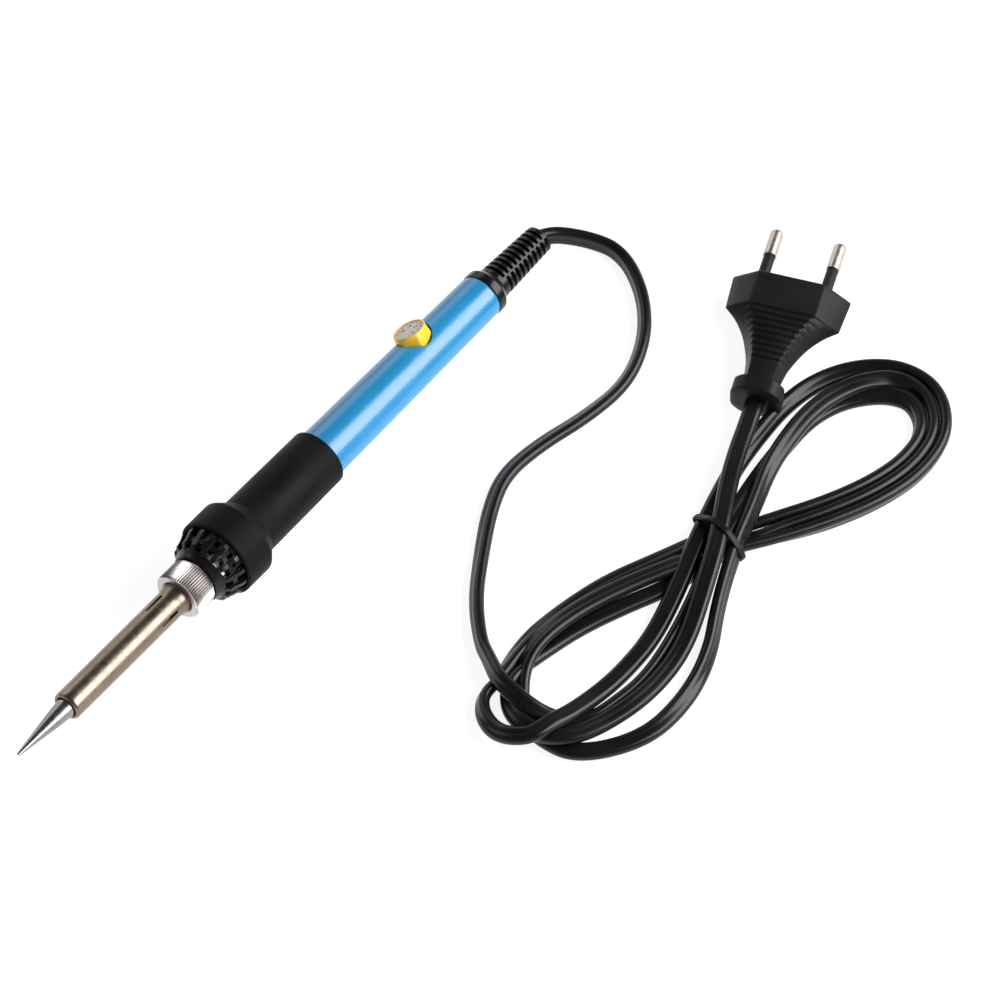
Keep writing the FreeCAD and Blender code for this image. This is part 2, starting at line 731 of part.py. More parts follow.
def boot_groove(station, roll):
    """Half a ring cut between two ribs, leaving a bridge at each side."""
    centre, along = Vector(station, 0, 0), Vector(1, 0, 0)
    outer = Part.makeCylinder(6.5, GROOVE_WIDTH, centre, along, GROOVE_ARC)
    groove = outer.cut(Part.makeCylinder(GROOVE_FLOOR, GROOVE_WIDTH, centre, along))
    groove.rotate(Vector(), along, roll)
    return groove


first_groove = size("CapEnd") + 1.4
grooves = []
for number in range(BOOT_GROOVES):
    station = first_groove + number * size("BootPitch")
    for side in (0, 180):
        grooves.append(boot_groove(station, side + 90 * (number % 2)))
boot_cuts = solid("BootGrooves", Part.makeCompound(grooves))
keep(less("Boot", boot_blank, [boot_cuts]), "strain_relief", on_axis)

CLAMP_START = 201.0
keep(turned("Clamp", [
    (CLAMP_START, half("CordDia", 0.02)),
    (CLAMP_START, 3.9),
    (CLAMP_START + 2.6, 3.9),
    (CLAMP_START + 2.6, half("CordDia", 0.02)),
]), "cord_clamp", on_axis)

TAIL_START = 200.6
tail = rod(
    "Tail", (TAIL_START, 0, 0), (1, 0, 0), half("CordDia"), size("BootEnd") - TAIL_START
)
keep(joined("CordTail", [tail]), "cord_tail", on_axis)

cores = []
for side in (-1, 1):
    route = [
        (TAIL_START, side * 1.1, 0),
        (TAIL_START - 1.2, side * 1.1, 0),
        (TAIL_START - 2.4, side * 1.6, -0.35),
        (TAIL_START - 3.6, side * 2.0, -0.5),
    ]
    cores.append(solid(f"MainsCore{side}", tube_along(route, 0.6)[0]))
keep(joined("MainsCores", cores), "mains_cores", on_knob_side)

# ---------------------------------------------------------------- free cord, bundle and tie

cord_radius = size("CordDia") / 2
exit_point = on_axis.multVec(Vector(size("BootEnd"), 0, 0))
exit_run = on_axis.multVec(Vector(size("BootEnd") + 5.0, 0, 0))

CORD_ROUTE = [
    tuple(exit_point), tuple(exit_run),
    (128.2, -3.6, 4.6), (131.3, -9.6, 3.4), (132.4, -17.6, 2.4), (130.0, -28.0, 2.3),
    (123.0, -37.5, 2.3), (111.5, -44.0, 2.3), (96.0, -46.3, 2.3), (80.0, -44.0, 2.3),
    (64.0, -39.6, 2.3), (49.5, -38.6, 2.3), (36.5, -43.6, 2.3), (23.0, -52.6, 2.3),
    (10.5, -61.6, 2.3), (0.5, -72.5, 2.3), (-6.0, -83.5, 2.3),
]
lead_tube, lead_radii, lead_length = tube_along(CORD_ROUTE, cord_radius)
keep(solid("PowerCord", lead_tube), "power_cord", on_table)
print("power_cord radii:", [round(r, 1) for r in lead_radii], "length:", round(lead_length, 1))

PLUG_LEAD_ROUTE = [
    (84.0, -95.0, 6.5), (93.5, -91.0, 6.5), (103.6, -86.7, 6.5), (110.606, -83.772, 6.5),
]
plug_tube, plug_radii, plug_length = tube_along(PLUG_LEAD_ROUTE, cord_radius)
keep(solid("PlugLead", plug_tube), "plug_lead", on_table)
print("plug_lead radii:", [round(r, 1) for r in plug_radii], "length:", round(plug_length, 1))

BUNDLE_EDGE = [
    (69, -95.3), (82, -92.5), (96, -91.5), (110, -90.5), (122, -89.5), (134, -92), (144, -99.5),
    (149.5, -111), (147, -122.5), (137, -131), (124, -134), (108, -131.5), (90, -124),
    (67, -113.6), (52, -118.5), (34, -127), (13, -132), (-6, -127.5), (-17, -117), (-22.5, -104),
    (-22, -91), (-13, -83), (4, -80.7), (26, -82.3), (44, -87.2), (57, -93),
]
LOW_LOOP_HOLE = [
    (42, -104), (31, -98.5), (17, -93.7), (3, -90.7), (-6, -94), (-7, -103), (8, -108.5), (26, -108.8),
]
HIGH_LOOP_HOLE = [
    (82, -106.5), (96, -100.2), (113, -97.3), (127, -102), (135, -112), (134, -121.5),
    (122, -124.8), (107, -119.5), (93, -112.3),
]


def smooth_loop(corners):
    """A closed smooth curve through the corners, on the table."""
    curve = Part.BSplineCurve()
    curve.interpolate([Vector(x, y, 0) for x, y in corners], PeriodicFlag=True)
    return Part.Wire(curve.toShape())


outline = Part.Face(smooth_loop(BUNDLE_EDGE))
for corners in (LOW_LOOP_HOLE, HIGH_LOOP_HOLE):
    outline = outline.cut(Part.Face(smooth_loop(corners)))
bundle_blank = outline.extrude(Vector(0, 0, size("BundleHeight")))

TIE_SPAN = 19.8
TIE_CENTRE = Vector(68.3, -104.4, 0)
TIE_YAW = -6.9


def tie_block(span, low, high):
    """A block across the bundle's waist, as wide as the tie."""
    block = Part.makeBox(
        size("TieWidth"), span, high - low, Vector(-size("TieWidth") / 2, -span / 2, low)
    )
    block.Placement = Placement(TIE_CENTRE, Rotation(Vector(0, 0, 1), TIE_YAW)) * block.Placement
    return block


thick = size("TieThick")
tie_top = size("BundleHeight") + thick
tie_outer = tie_block(TIE_SPAN, 0, tie_top)
tie_hollow = tie_block(TIE_SPAN - 2 * thick, thick, tie_top - thick)
corner_edges = [
    edge for edge in tie_outer.Edges
    if abs(edge.Length - size("TieWidth")) < 1e-6
]
tie_ring = tie_outer.makeFillet(2.0, corner_edges).cut(tie_hollow)
keep(solid("Tie", tie_ring), "cord_tie", on_table)
bundle_shape = bundle_blank.cut(tie_outer).fuse(bundle_blank.common(tie_hollow)).removeSplitter()
keep(solid("Bundle", bundle_shape.Solids[0]), "cord_bundle", on_table)

# ---------------------------------------------------------------- plug

PLUG_SECTIONS = [
    # distance behind the face, half width at mid height, half width on top, half thickness
    (0.0, size("PlugFront"), 9.8, 6.5),
    (11.1, 16.9, 10.0, 6.5),
    (14.4, 13.3, 8.2, 6.4),
    (19.1, 9.9, 6.5, 6.2),
    (23.6, 7.8, 5.3, 5.9),
    (28.4, 6.2, 4.3, 5.6),
    (35.6, 5.2, 3.8, 5.4),
]
COLLAR_LENGTH = 5.4
COLLAR_SECTION = ((7.4, 3.4), (4.6, 6.2))
plug_end = PLUG_SECTIONS[-1][0] + COLLAR_LENGTH


def plug_section(back, mid, top, thick_half):
    """The plug's six-sided section at a distance behind its face."""
    corners = [
        (mid, 0), (top, thick_half), (-top, thick_half), (-mid, 0), (-top, -thick_half), (top, -thick_half),
    ]
    return Part.makePolygon([Vector(-back, y, z) for y, z in corners + corners[:1]])


head_block = Part.makeLoft([plug_section(*s) for s in PLUG_SECTIONS[:2]], True, True)
tail_block = Part.makeLoft([plug_section(*s) for s in PLUG_SECTIONS[1:]], True, True)
(collar_wide, collar_low), (collar_narrow, collar_high) = COLLAR_SECTION
collar_corners = [
    (collar_wide, -collar_low), (collar_wide, collar_low), (collar_narrow, collar_high),
    (-collar_narrow, collar_high), (-collar_wide, collar_low), (-collar_wide, -collar_low),
    (-collar_narrow, -collar_high), (collar_narrow, -collar_high),
]
collar_face = Part.Face(Part.makePolygon(
    [Vector(-plug_end, y, z) for y, z in collar_corners + collar_corners[:1]]
))
collar = collar_face.extrude(Vector(COLLAR_LENGTH, 0, 0))
plug_form = head_block.fuse([tail_block, collar])

BRIDGE_DEPTH = 6.0
BRIDGE_HALF_WIDTH = 12.0
BRIDGE_HALF_HEIGHT = 3.6
CRIMP_LENGTH = 6.5
CRIMP_RADIUS = 1.6
CORE_RADIUS = 0.9
pin_y = size("PinSpacing") / 2


def bridge_block():
    """The moulded insert that holds the pins, flush with the plug's face."""
    return Part.makeBox(
        BRIDGE_DEPTH, 2 * BRIDGE_HALF_WIDTH, 2 * BRIDGE_HALF_HEIGHT,
        Vector(-BRIDGE_DEPTH, -BRIDGE_HALF_WIDTH, -BRIDGE_HALF_HEIGHT),
    )


def core_run(side, radius):
    """A straight core from a crimp to the cord's jacket at the plug's end."""
    start = Vector(-BRIDGE_DEPTH - CRIMP_LENGTH, side * pin_y, 0)
    end = Vector(-plug_end + 0.3, side * 1.1, 0)
    return Part.makeCylinder(radius, (end - start).Length, start, end - start)


def round_bar(radius, start, end, side):
    """A round bar along the plug's axis at one pin's place."""
    return Part.makeCylinder(radius, end - start, Vector(start, side * pin_y, 0), Vector(1, 0, 0))


hollows = [bridge_block()]
for side in (-1, 1):
    hollows.append(round_bar(CRIMP_RADIUS + 0.05, -BRIDGE_DEPTH - CRIMP_LENGTH, -BRIDGE_DEPTH, side))
    hollows.append(core_run(side, CORE_RADIUS))
keep(solid("PlugBody", plug_form.cut(hollows)), "plug_body", on_plug)

neck = size("PinNeckDia") / 2
bridge = bridge_block().cut([round_bar(neck, -BRIDGE_DEPTH, 0.0, side) for side in (-1, 1)])
keep(solid("PlugBridge", bridge), "plug_bridge", on_plug)

bare_start = size("PinSleeve")
pin_end = size("PinLength")
pins, pin_sleeves, crimps, plug_cores = [], [], [], []
for side in (-1, 1):
    stem = round_bar(neck, -BRIDGE_DEPTH, bare_start, side)
    bare = round_bar(size("PinDia") / 2, bare_start, pin_end, side)
    end_edge = [
        edge for edge in bare.Edges
        if isinstance(edge.Curve, Part.Circle) and edge.Curve.Center.x > pin_end - 0.1
    ]
    pins.append(solid(f"Pin{side}", stem.fuse(bare.makeFillet(1.2, end_edge)).removeSplitter()))
    sleeve_bar = round_bar(size("PinSleeveDia") / 2, 0.0, bare_start, side)
    sleeve_shape = sleeve_bar.cut(round_bar(neck, 0.0, bare_start, side))
    pin_sleeves.append(solid(f"PinSleeve{side}", sleeve_shape))
    crimp_shape = round_bar(CRIMP_RADIUS, -BRIDGE_DEPTH - CRIMP_LENGTH, -BRIDGE_DEPTH, side)
    crimps.append(solid(f"Crimp{side}", crimp_shape.cut(core_run(side, CORE_RADIUS))))
    plug_cores.append(solid(f"PlugCore{side}", core_run(side, CORE_RADIUS - 0.05)))
keep(joined("PlugPins", pins), "plug_pins", on_plug)
keep(joined("PinSleeves", pin_sleeves), "pin_sleeves", on_plug)
keep(joined("CrimpTerminals", crimps), "crimp_terminals", on_plug)
keep(joined("PlugCores", plug_cores), "plug_cores", on_plug)

# ---------------------------------------------------------------- checks and export

doc.recompute()
for item in doc.Objects:
    if {"Invalid", "Error"} & set(item.State):
        raise RuntimeError(f"{item.Label} failed to build: {item.State}")
for label, piece in nodes.items():
    if piece.Shape.isNull() or not piece.Shape.isValid() or not piece.Shape.Solids:
        raise RuntimeError(f"{label} has no valid solid")

os.makedirs("parts", exist_ok=True)
for label, piece in nodes.items():
    piece.Shape.exportStep(f"parts/{label}.step")

loose = {"power_cord", "cord_bundle", "cord_tie", "plug_lead", "plug_body", "plug_bridge",
         "plug_pins", "pin_sleeves", "crimp_terminals", "plug_cores"}
iron = Part.makeCompound([piece.Shape for label, piece in nodes.items() if label not in loose])
reach = iron.optimalBoundingBox(False)
print(len(nodes), "sub-parts; iron", [round(v, 2) for v in (
    reach.XMin, reach.XMax, reach.YMin, reach.YMax, reach.ZMin, reach.ZMax)])
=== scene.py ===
"""Soldering iron: looks, cord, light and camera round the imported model. Metres, unless a name says mm."""
import json
import math

import bpy
from mathutils import Matrix, Vector


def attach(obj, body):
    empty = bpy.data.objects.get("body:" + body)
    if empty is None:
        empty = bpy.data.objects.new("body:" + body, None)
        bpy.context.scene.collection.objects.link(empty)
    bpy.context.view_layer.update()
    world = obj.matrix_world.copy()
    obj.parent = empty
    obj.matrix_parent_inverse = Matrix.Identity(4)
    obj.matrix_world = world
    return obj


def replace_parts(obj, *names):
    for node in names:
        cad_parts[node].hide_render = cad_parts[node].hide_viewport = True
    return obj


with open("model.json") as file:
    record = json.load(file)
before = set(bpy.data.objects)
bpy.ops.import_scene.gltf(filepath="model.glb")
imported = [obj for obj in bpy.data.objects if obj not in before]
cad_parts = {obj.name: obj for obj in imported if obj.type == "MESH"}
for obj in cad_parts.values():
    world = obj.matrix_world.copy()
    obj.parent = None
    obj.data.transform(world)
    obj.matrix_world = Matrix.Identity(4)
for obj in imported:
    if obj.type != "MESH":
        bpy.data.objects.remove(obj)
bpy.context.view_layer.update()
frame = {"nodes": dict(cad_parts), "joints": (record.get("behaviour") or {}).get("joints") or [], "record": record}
MM = 0.001
UP = Vector((0, 0, 1))

# ---------------------------------------------------------------- places taken from the frame


def placed(origin, *axes):
    """The transform to the row frame from a frame with this origin and these three axes."""
    return Matrix.Translation(origin) @ Matrix(axes).transposed().to_4x4()


# Stations are distances in mm behind the tip's point, along the iron's axis.
joints = {joint["name"]: joint for joint in frame["joints"]}
ALONG = -Vector(joints["barrel_slide"]["axis"]).normalized()
NUT_STATION = 75.0
AXIS_START = Vector(joints["nut_turn"]["pos_m"]) - ALONG * NUT_STATION * MM
SIDE = Vector((0, 1, 0))
RISE = ALONG.cross(SIDE).normalized()
on_iron = placed(AXIS_START, ALONG, SIDE, RISE)

KNOB_TOP = 8.9
KNOB_UP = Vector(joints["knob_turn"]["axis"]).normalized()
KNOB_SIDE = KNOB_UP.cross(ALONG).normalized()
KNOB_FOOT = Vector(joints["knob_turn"]["pos_m"]) - KNOB_UP * KNOB_TOP * MM
on_knob = placed(KNOB_FOOT, ALONG, KNOB_SIDE, KNOB_UP)

mounts = {mount["name"]: mount for mount in frame["record"]["mounts"]}
PIN_MIDDLE = 13.4
left_pin, right_pin = (Vector(mounts[name]["pos_m"]) for name in ("plug_pin_left", "plug_pin_right"))
PLUG_OUT = Vector(mounts["plug_pin_left"]["axis"]).normalized()
PLUG_SIDE = UP.cross(PLUG_OUT)
PLUG_FACE = (left_pin + right_pin) / 2 - PLUG_OUT * PIN_MIDDLE * MM
on_plug = placed(PLUG_FACE, PLUG_OUT, PLUG_SIDE, UP)

# ---------------------------------------------------------------- mesh helpers

CREASE = 32
EASED_FROM = math.radians(20)

# The faces of a box whose corners come from loops over x, then y, then z.
BOX_FACES = [(0, 1, 3, 2), (4, 6, 7, 5), (0, 4, 5, 1), (2, 3, 7, 6), (0, 2, 6, 4), (1, 5, 7, 3)]


def mesh_piece(name, vertices, faces, material, body="handle", crease=CREASE):
    """A smooth-shaded piece in the row frame, with edges sharper than crease degrees kept sharp."""
    mesh = bpy.data.meshes.new(name)
    mesh.from_pydata([tuple(v) for v in vertices], [], faces)
    mesh.validate()
    mesh.polygons.foreach_set("use_smooth", [True] * len(mesh.polygons))
    mesh.set_sharp_from_angle(angle=math.radians(crease))
    mesh.materials.append(material)
    piece = bpy.data.objects.new(name, mesh)
    bpy.context.scene.collection.objects.link(piece)
    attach(piece, body)
    return piece


def ring_faces(rings, count):
    """Quads between rings of count points each."""
    faces = []
    for ring in range(rings - 1):
        for point in range(count):
            after = (point + 1) % count
            low, high = ring * count, (ring + 1) * count
            faces.append((low + point, low + after, high + after, high + point))
    return faces


def stack_faces(rings, count):
    """The faces of a solid made of a stack of rings: its sides, then its two ends."""
    rear = (rings - 1) * count
    return ring_faces(rings, count) + [tuple(range(count))[::-1], tuple(range(rear, rear + count))]


def loop_faces(rings, count):
    """The faces of a solid made of rings whose last one joins the first."""
    last = (rings - 1) * count
    closing = [(last + p, last + (p + 1) % count, (p + 1) % count, p) for p in range(count)]
    return ring_faces(rings, count) + closing


def shifted(faces, start):
    """The faces of a part whose vertices begin at start."""
    return [tuple(start + corner for corner in face) for face in faces]


def eased(outline, radius, steps=3):
    """The outline with each corner that turns by EASED_FROM or more rounded by about that radius."""
    points = [Vector(p) for p in outline]
    result = [points[0]]
    for before, corner, after in zip(points, points[1:], points[2:]):
        back, ahead = before - corner, after - corner
        turn = math.pi - back.angle(ahead)
        if turn < EASED_FROM:
            result.append(corner)
            continue
        trim = min(radius * math.tan(turn / 2), 0.45 * back.length, 0.45 * ahead.length)
        start, end = corner + back.normalized() * trim, corner + ahead.normalized() * trim
        for step in range(steps + 1):
            t = step / steps
            result.append(start.lerp(corner, t).lerp(corner.lerp(end, t), t))
    return result + [points[-1]]


def turned(name, outline, material, body="handle", steps=96, closed=True, wave=None,
           places=None):
    """A surface of revolution of (station, radius) points in mm, drawn once for each place.

    closed joins the outline's last point to its first. Otherwise both ends get a flat face.
    wave(station, radius, roll) says how far the surface dips below the radius there.
    """
    vertices, faces = [], []
    for place in places or [on_iron]:
        start = len(vertices)
        for station, radius in outline:
            for step in range(steps):
                roll = 2 * math.pi * step / steps
                reach = radius - (wave(station, radius, roll) if wave else 0)
                spot = Vector((station, math.sin(roll) * reach, math.cos(roll) * reach)) * MM
                vertices.append(place @ spot)
        made = loop_faces(len(outline), steps) if closed else stack_faces(len(outline), steps)
        faces += shifted(made, start)
    return mesh_piece(name, vertices, faces, material, body)


def cut(piece, cutters):
    """Cuts the cutters out of the piece and removes them."""
    for cutter in cutters:
        hole = piece.modifiers.new("Cut", "BOOLEAN")
        hole.operation, hole.solver, hole.object = "DIFFERENCE", "EXACT", cutter
    bpy.context.view_layer.update()
    result = bpy.data.meshes.new_from_object(piece.evaluated_get(bpy.context.evaluated_depsgraph_get()))
    piece.modifiers.clear()
    piece.data = result
    result.set_sharp_from_angle(angle=math.radians(CREASE))
    for cutter in cutters:
        bpy.data.objects.remove(cutter)
    return piece


def softened(piece, width):
    """Joins a CAD piece's doubled points and rounds its sharp edges."""
    weld = piece.modifiers.new("Weld", "WELD")
    weld.merge_threshold = 0.002 * MM
    bevel = piece.modifiers.new("Bevel", "BEVEL")
    bevel.width, bevel.segments = width * MM, 2
    bevel.limit_method, bevel.angle_limit = "ANGLE", math.radians(35)
    bevel.use_clamp_overlap = True


# ---------------------------------------------------------------- material helpers


def new_material(name, colour, roughness, metallic=0.0, **sockets):
    """A principled material. Further sockets are given by name, with _ for a space."""
    material = bpy.data.materials.new(name)
    material.use_nodes = True
    shader = material.node_tree.nodes["Principled BSDF"]
    shader.inputs["Base Color"].default_value = (*colour, 1)
    shader.inputs["Roughness"].default_value = roughness
    shader.inputs["Metallic"].default_value = metallic
    for socket, value in sockets.items():
        shader.inputs[socket.replace("_", " ")].default_value = value
    return material


def node(material, kind, **values):
    """A new node; values are its properties, or its inputs' values by name."""
    made = material.node_tree.nodes.new(kind)
    for key, value in values.items():
        if hasattr(made, key):
            setattr(made, key, value)
        else:
            made.inputs[key.replace("_", " ")].default_value = value
    return made


def link(material, source, target):
    """Joins an output to an input."""
    material.node_tree.links.new(source, target)


def grain(material, scale, stretch=(1, 1, 1), detail=4.0):
    """A noise over the object's own space, in grains per metre, stretched along the iron's axis."""
    place = node(material, "ShaderNodeTexCoord")
    turn = node(material, "ShaderNodeMapping")
    turn.inputs["Rotation"].default_value = (0, math.asin(ALONG.z), 0)
    turn.inputs["Scale"].default_value = stretch
    noise = node(material, "ShaderNodeTexNoise", Scale=scale, Detail=detail)
    link(material, place.outputs["Object"], turn.inputs["Vector"])
    link(material, turn.outputs["Vector"], noise.inputs["Vector"])
    return noise.outputs["Fac"]


def remap(material, source, low, high, start=0.3, end=0.7):
    """The source's middle range spread from low to high."""
    spread = node(material, "ShaderNodeMapRange", interpolation_type="SMOOTHERSTEP",
                  From_Min=start, From_Max=end, To_Min=low, To_Max=high)
    link(material, source, spread.inputs["Value"])
    return spread.outputs["Result"]


def vary_roughness(material, source, low, high):
    """Drives the roughness from low to high by the source."""
    shader = material.node_tree.nodes["Principled BSDF"]
    link(material, remap(material, source, low, high), shader.inputs["Roughness"])


def vary_colour(material, source, first, second, start=0.35, end=0.65):
    """Mixes two colours by the source."""
    shader = material.node_tree.nodes["Principled BSDF"]
    ramp = node(material, "ShaderNodeValToRGB")
    ramp.color_ramp.interpolation = "EASE"
    ramp.color_ramp.elements[0].position, ramp.color_ramp.elements[1].position = start, end
    ramp.color_ramp.elements[0].color, ramp.color_ramp.elements[1].color = (*first, 1), (*second, 1)
    link(material, source, ramp.inputs["Fac"])
    link(material, ramp.outputs["Color"], shader.inputs["Base Color"])


def add_bump(material, source, strength, depth_mm):
    """Takes the source as the height of a fine relief."""
    shader = material.node_tree.nodes["Principled BSDF"]
    bump = node(material, "ShaderNodeBump", Strength=strength, Distance=depth_mm * MM)
    link(material, source, bump.inputs["Height"])
    link(material, bump.outputs["Normal"], shader.inputs["Normal"])


# ---------------------------------------------------------------- materials


def moulded(name, colour, roughness, grain_scale=2500, depth=0.01, shade=1.25, **sockets):
    """Moulded plastic or rubber: fine grain, faint unevenness of colour and gloss."""
    material = new_material(name, colour, roughness, **sockets)
    fine = grain(material, grain_scale)
    broad = grain(material, 60)
    vary_roughness(material, broad, roughness * 0.9, roughness * 1.12)
    vary_colour(material, broad, [c / shade for c in colour], [c * shade for c in colour])
    add_bump(material, fine, 0.5, depth)
    return material


def turned_metal(name, colour, second, roughness, ring_scale=900, depth=0.006):
    """Machined metal with fine rings round the iron's axis and a slow change of tint along it."""
    material = new_material(name, colour, roughness, 1.0)
    rings = grain(material, ring_scale, (1, 0.01, 0.01))
    tint = grain(material, 45, (1, 0.35, 0.35))
    vary_colour(material, tint, colour, second)
    vary_roughness(material, rings, roughness * 0.85, roughness * 1.2)
    add_bump(material, rings, 0.4, depth)
    return material


plated = turned_metal("tip_plating", (0.34, 0.325, 0.315), (0.27, 0.26, 0.25), 0.27, 1200, 0.004)
steel_brown = turned_metal("barrel_steel", (0.255, 0.203, 0.160), (0.220, 0.176, 0.140), 0.32, 500, 0.002)
aluminium = turned_metal("nut_metal", (0.62, 0.585, 0.57), (0.55, 0.52, 0.51), 0.36, 1500, 0.006)
# Darker metal for the knurl's valleys: painted shade in the grooves, not a colour of the aluminium nut.
nut_valley_painted_shade = turned_metal("nut_valley_painted_shade", (0.20, 0.18, 0.175), (0.16, 0.145, 0.14), 0.5)
plain_steel = turned_metal("steel", (0.55, 0.54, 0.53), (0.45, 0.44, 0.43), 0.35)
nickel = turned_metal("nickel_brass", (0.58, 0.52, 0.47), (0.50, 0.45, 0.40), 0.34, 1400, 0.005)
copper = turned_metal("copper", (0.75, 0.36, 0.20), (0.60, 0.28, 0.15), 0.35)
nylon = moulded("black_nylon", (0.006, 0.006, 0.0065), 0.26, 1400, 0.012, Specular_IOR_Level=0.32)
rubber = moulded("grip_rubber", (0.0055, 0.0055, 0.0052), 0.56, 3500, 0.03, Specular_IOR_Level=0.09)
blue = moulded("blue_plastic", (0.014, 0.255, 0.535), 0.27, 1800, 0.004, 1.04, Specular_IOR_Level=0.75)
yellow = moulded("yellow_plastic", (0.90, 0.58, 0.03), 0.30, 1800, 0.006, 1.05)
dial_grey = moulded("dial_grey", (0.72, 0.66, 0.64), 0.45, 1800, 0.004, 1.05)
dial_ink = moulded("dial_ink", (0.10, 0.095, 0.10), 0.5, 1800, 0.004, 1.05)
cord_pvc = moulded("cord_pvc", (0.006, 0.006, 0.006), 0.27, 1600, 0.010, Specular_IOR_Level=0.32)
plug_pvc = moulded("plug_pvc", (0.006, 0.0055, 0.0055), 0.42, 3000, 0.020, Specular_IOR_Level=0.22)
sleeve_pvc = moulded("sleeve_pvc", (0.010, 0.0095, 0.0095), 0.55, 2200, 0.12, Specular_IOR_Level=0.25)
ceramic = moulded("ceramic", (0.80, 0.76, 0.66), 0.55, 1500, 0.01, 1.04)
glass_fibre = moulded("glass_fibre", (0.80, 0.76, 0.66), 0.8, 900, 0.08, 1.06)
board_green = moulded("board", (0.03, 0.16, 0.05), 0.4, 900, 0.01)
component = moulded("component", (0.02, 0.02, 0.022), 0.4, 1200, 0.01)
film = moulded("film", (0.45, 0.09, 0.03), 0.25, 900, 0.01, 1.1)

CAD_LOOKS = {
    "tip_plating": plated, "barrel_steel": steel_brown, "nut_metal": aluminium, "steel": plain_steel,
    "ceramic": ceramic, "glass_fibre": glass_fibre, "black_nylon": nylon, "grip_rubber": rubber,
    "blue_plastic": blue, "yellow_plastic": yellow, "dial_grey": dial_grey, "cord_pvc": cord_pvc,
    "plug_pvc": plug_pvc, "board": board_green, "component": component, "film": film,
    "copper": copper, "nickel_brass": nickel,
}
for subpart in frame["record"]["subparts"]:
    cad_piece = frame["nodes"][subpart["node"]]
    for index in range(len(cad_piece.data.materials)):
        cad_piece.data.materials[index] = CAD_LOOKS[subpart["material_slot"]]

# ---------------------------------------------------------------- barrel, nut, grip, tube and cap


def make_barrel():
    """The steel barrel with its rolled lip, its four vent slots and its collar in the nut."""
    lip = [(21.9, 3.25), (21.45, 3.45), (21.3, 3.75), (21.45, 4.15), (21.8, 4.4), (22.3, 4.5)]
    rows = [(22.3 + 1.1 * step, 4.5) for step in range(1, 42)]
    outline = lip + rows + [(68.5, 4.5), (69.1, 4.7), (73.1, 4.7), (73.1, 5.3), (74.1, 5.3), (74.1, 3.95),
                     (22.5, 3.95), (22.5, 3.25)]
    barrel = turned("barrel", outline, steel_brown, "barrel")
    stations, sides, depths, first_roll = (59.8, 66.7), (-0.45, 0.45), (2.0, 6.5), 25
    corners = [(x, y, z) for x in stations for y in sides for z in depths]
    slots = []
    for quarter in range(4):
        place = on_iron @ Matrix.Rotation(-math.radians(first_roll + 90 * quarter), 4, "X")
        vertices = [place @ (Vector(corner) * MM) for corner in corners]
        slots.append(mesh_piece(f"slot_{quarter}", vertices, BOX_FACES, steel_brown, "barrel"))
    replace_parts(cut(barrel, slots), "barrel_tube")


def make_nut():
    """The lock nut: a straight knurl of 60 teeth between two chamfers, and a countersunk front hole."""
    teeth, tooth_steps, depth, full = 60, 6, 0.46, 7.5

    def knurl(station, radius, roll):
        tooth = abs((roll * teeth / (2 * math.pi)) % 1 - 0.5) * 2
        return depth * (1 - tooth) if radius > full - 0.3 else 0

    outline = [(71.95, 4.85), (71.4, 5.5), (71.4, 6.9), (71.5, 7.05), (71.75, 7.3), (72.0, full),
               (79.1, full), (79.35, 7.3), (79.6, 7.0), (79.6, 5.6), (73.0, 5.6), (73.0, 4.85)]
    steps = teeth * tooth_steps
    nut = turned("knurled_nut", outline, aluminium, "nut", steps=steps, wave=knurl)
    # The two valley faces of every tooth get the darker metal, as painted shade in the knurl's grooves.
    nut.data.materials.append(nut_valley_painted_shade)
    knurled_rows = nut.data.polygons[4 * steps:7 * steps]
    for polygon in knurled_rows:
        if polygon.index % tooth_steps in (2, 3):
            polygon.material_index = 1
    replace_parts(nut, "lock_nut")


def make_grip():
    """The soft grip with its wide front flange."""
    outline = eased([(92.4, 11.05), (89, 11.05), (89, 12.5), (98.9, 12.5), (103, 9.35), (104, 9.33),
                     (136, 9.0), (136, 7.85), (92.4, 7.85)], 1.1, 6)
    grip = turned("soft_grip", outline, rubber, "handle", steps=128)
    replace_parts(grip, "grip_sleeve")


def make_tube():
    """The blue tube, tapered, with the knob's hole."""
    rows = [(136 + step, 7.75 - 0.93 * step / 74) for step in range(75)]
    outline = [(128, 7.75), *rows, (210.35, 6.74), (210.5, 6.6), (210.5, 5.6), (136, 6.62), (128, 6.62)]
    tube = turned("blue_tube", outline, blue, "handle", steps=160)
    hole_radius, steps = 5.75, 72
    turns = [2 * math.pi * k / steps for k in range(steps)]
    ring = [(hole_radius * math.cos(turn), hole_radius * math.sin(turn)) for turn in turns]
    vertices = [on_knob @ (Vector((x, y, z)) * MM) for z in (1.0, 12.0) for x, y in ring]
    hole = mesh_piece("hole", vertices, stack_faces(2, steps), blue)
    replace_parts(cut(tube, [hole]), "handle_tube")


def make_cap():
    """The end cap: a plug inside the tube and a rounded rim behind it."""
    rim = eased([(210.5, 5.5), (210.5, 7.0), (213.2, 7.0), (215.3, 5.3), (215.3, 4.0)], 0.45, 4)
    outline = [(204, 4.9), (204, 5.5), *rim, (208, 4.0), (208, 4.9)]
    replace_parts(turned("end_cap", outline, nylon, "handle"), "rear_cap")


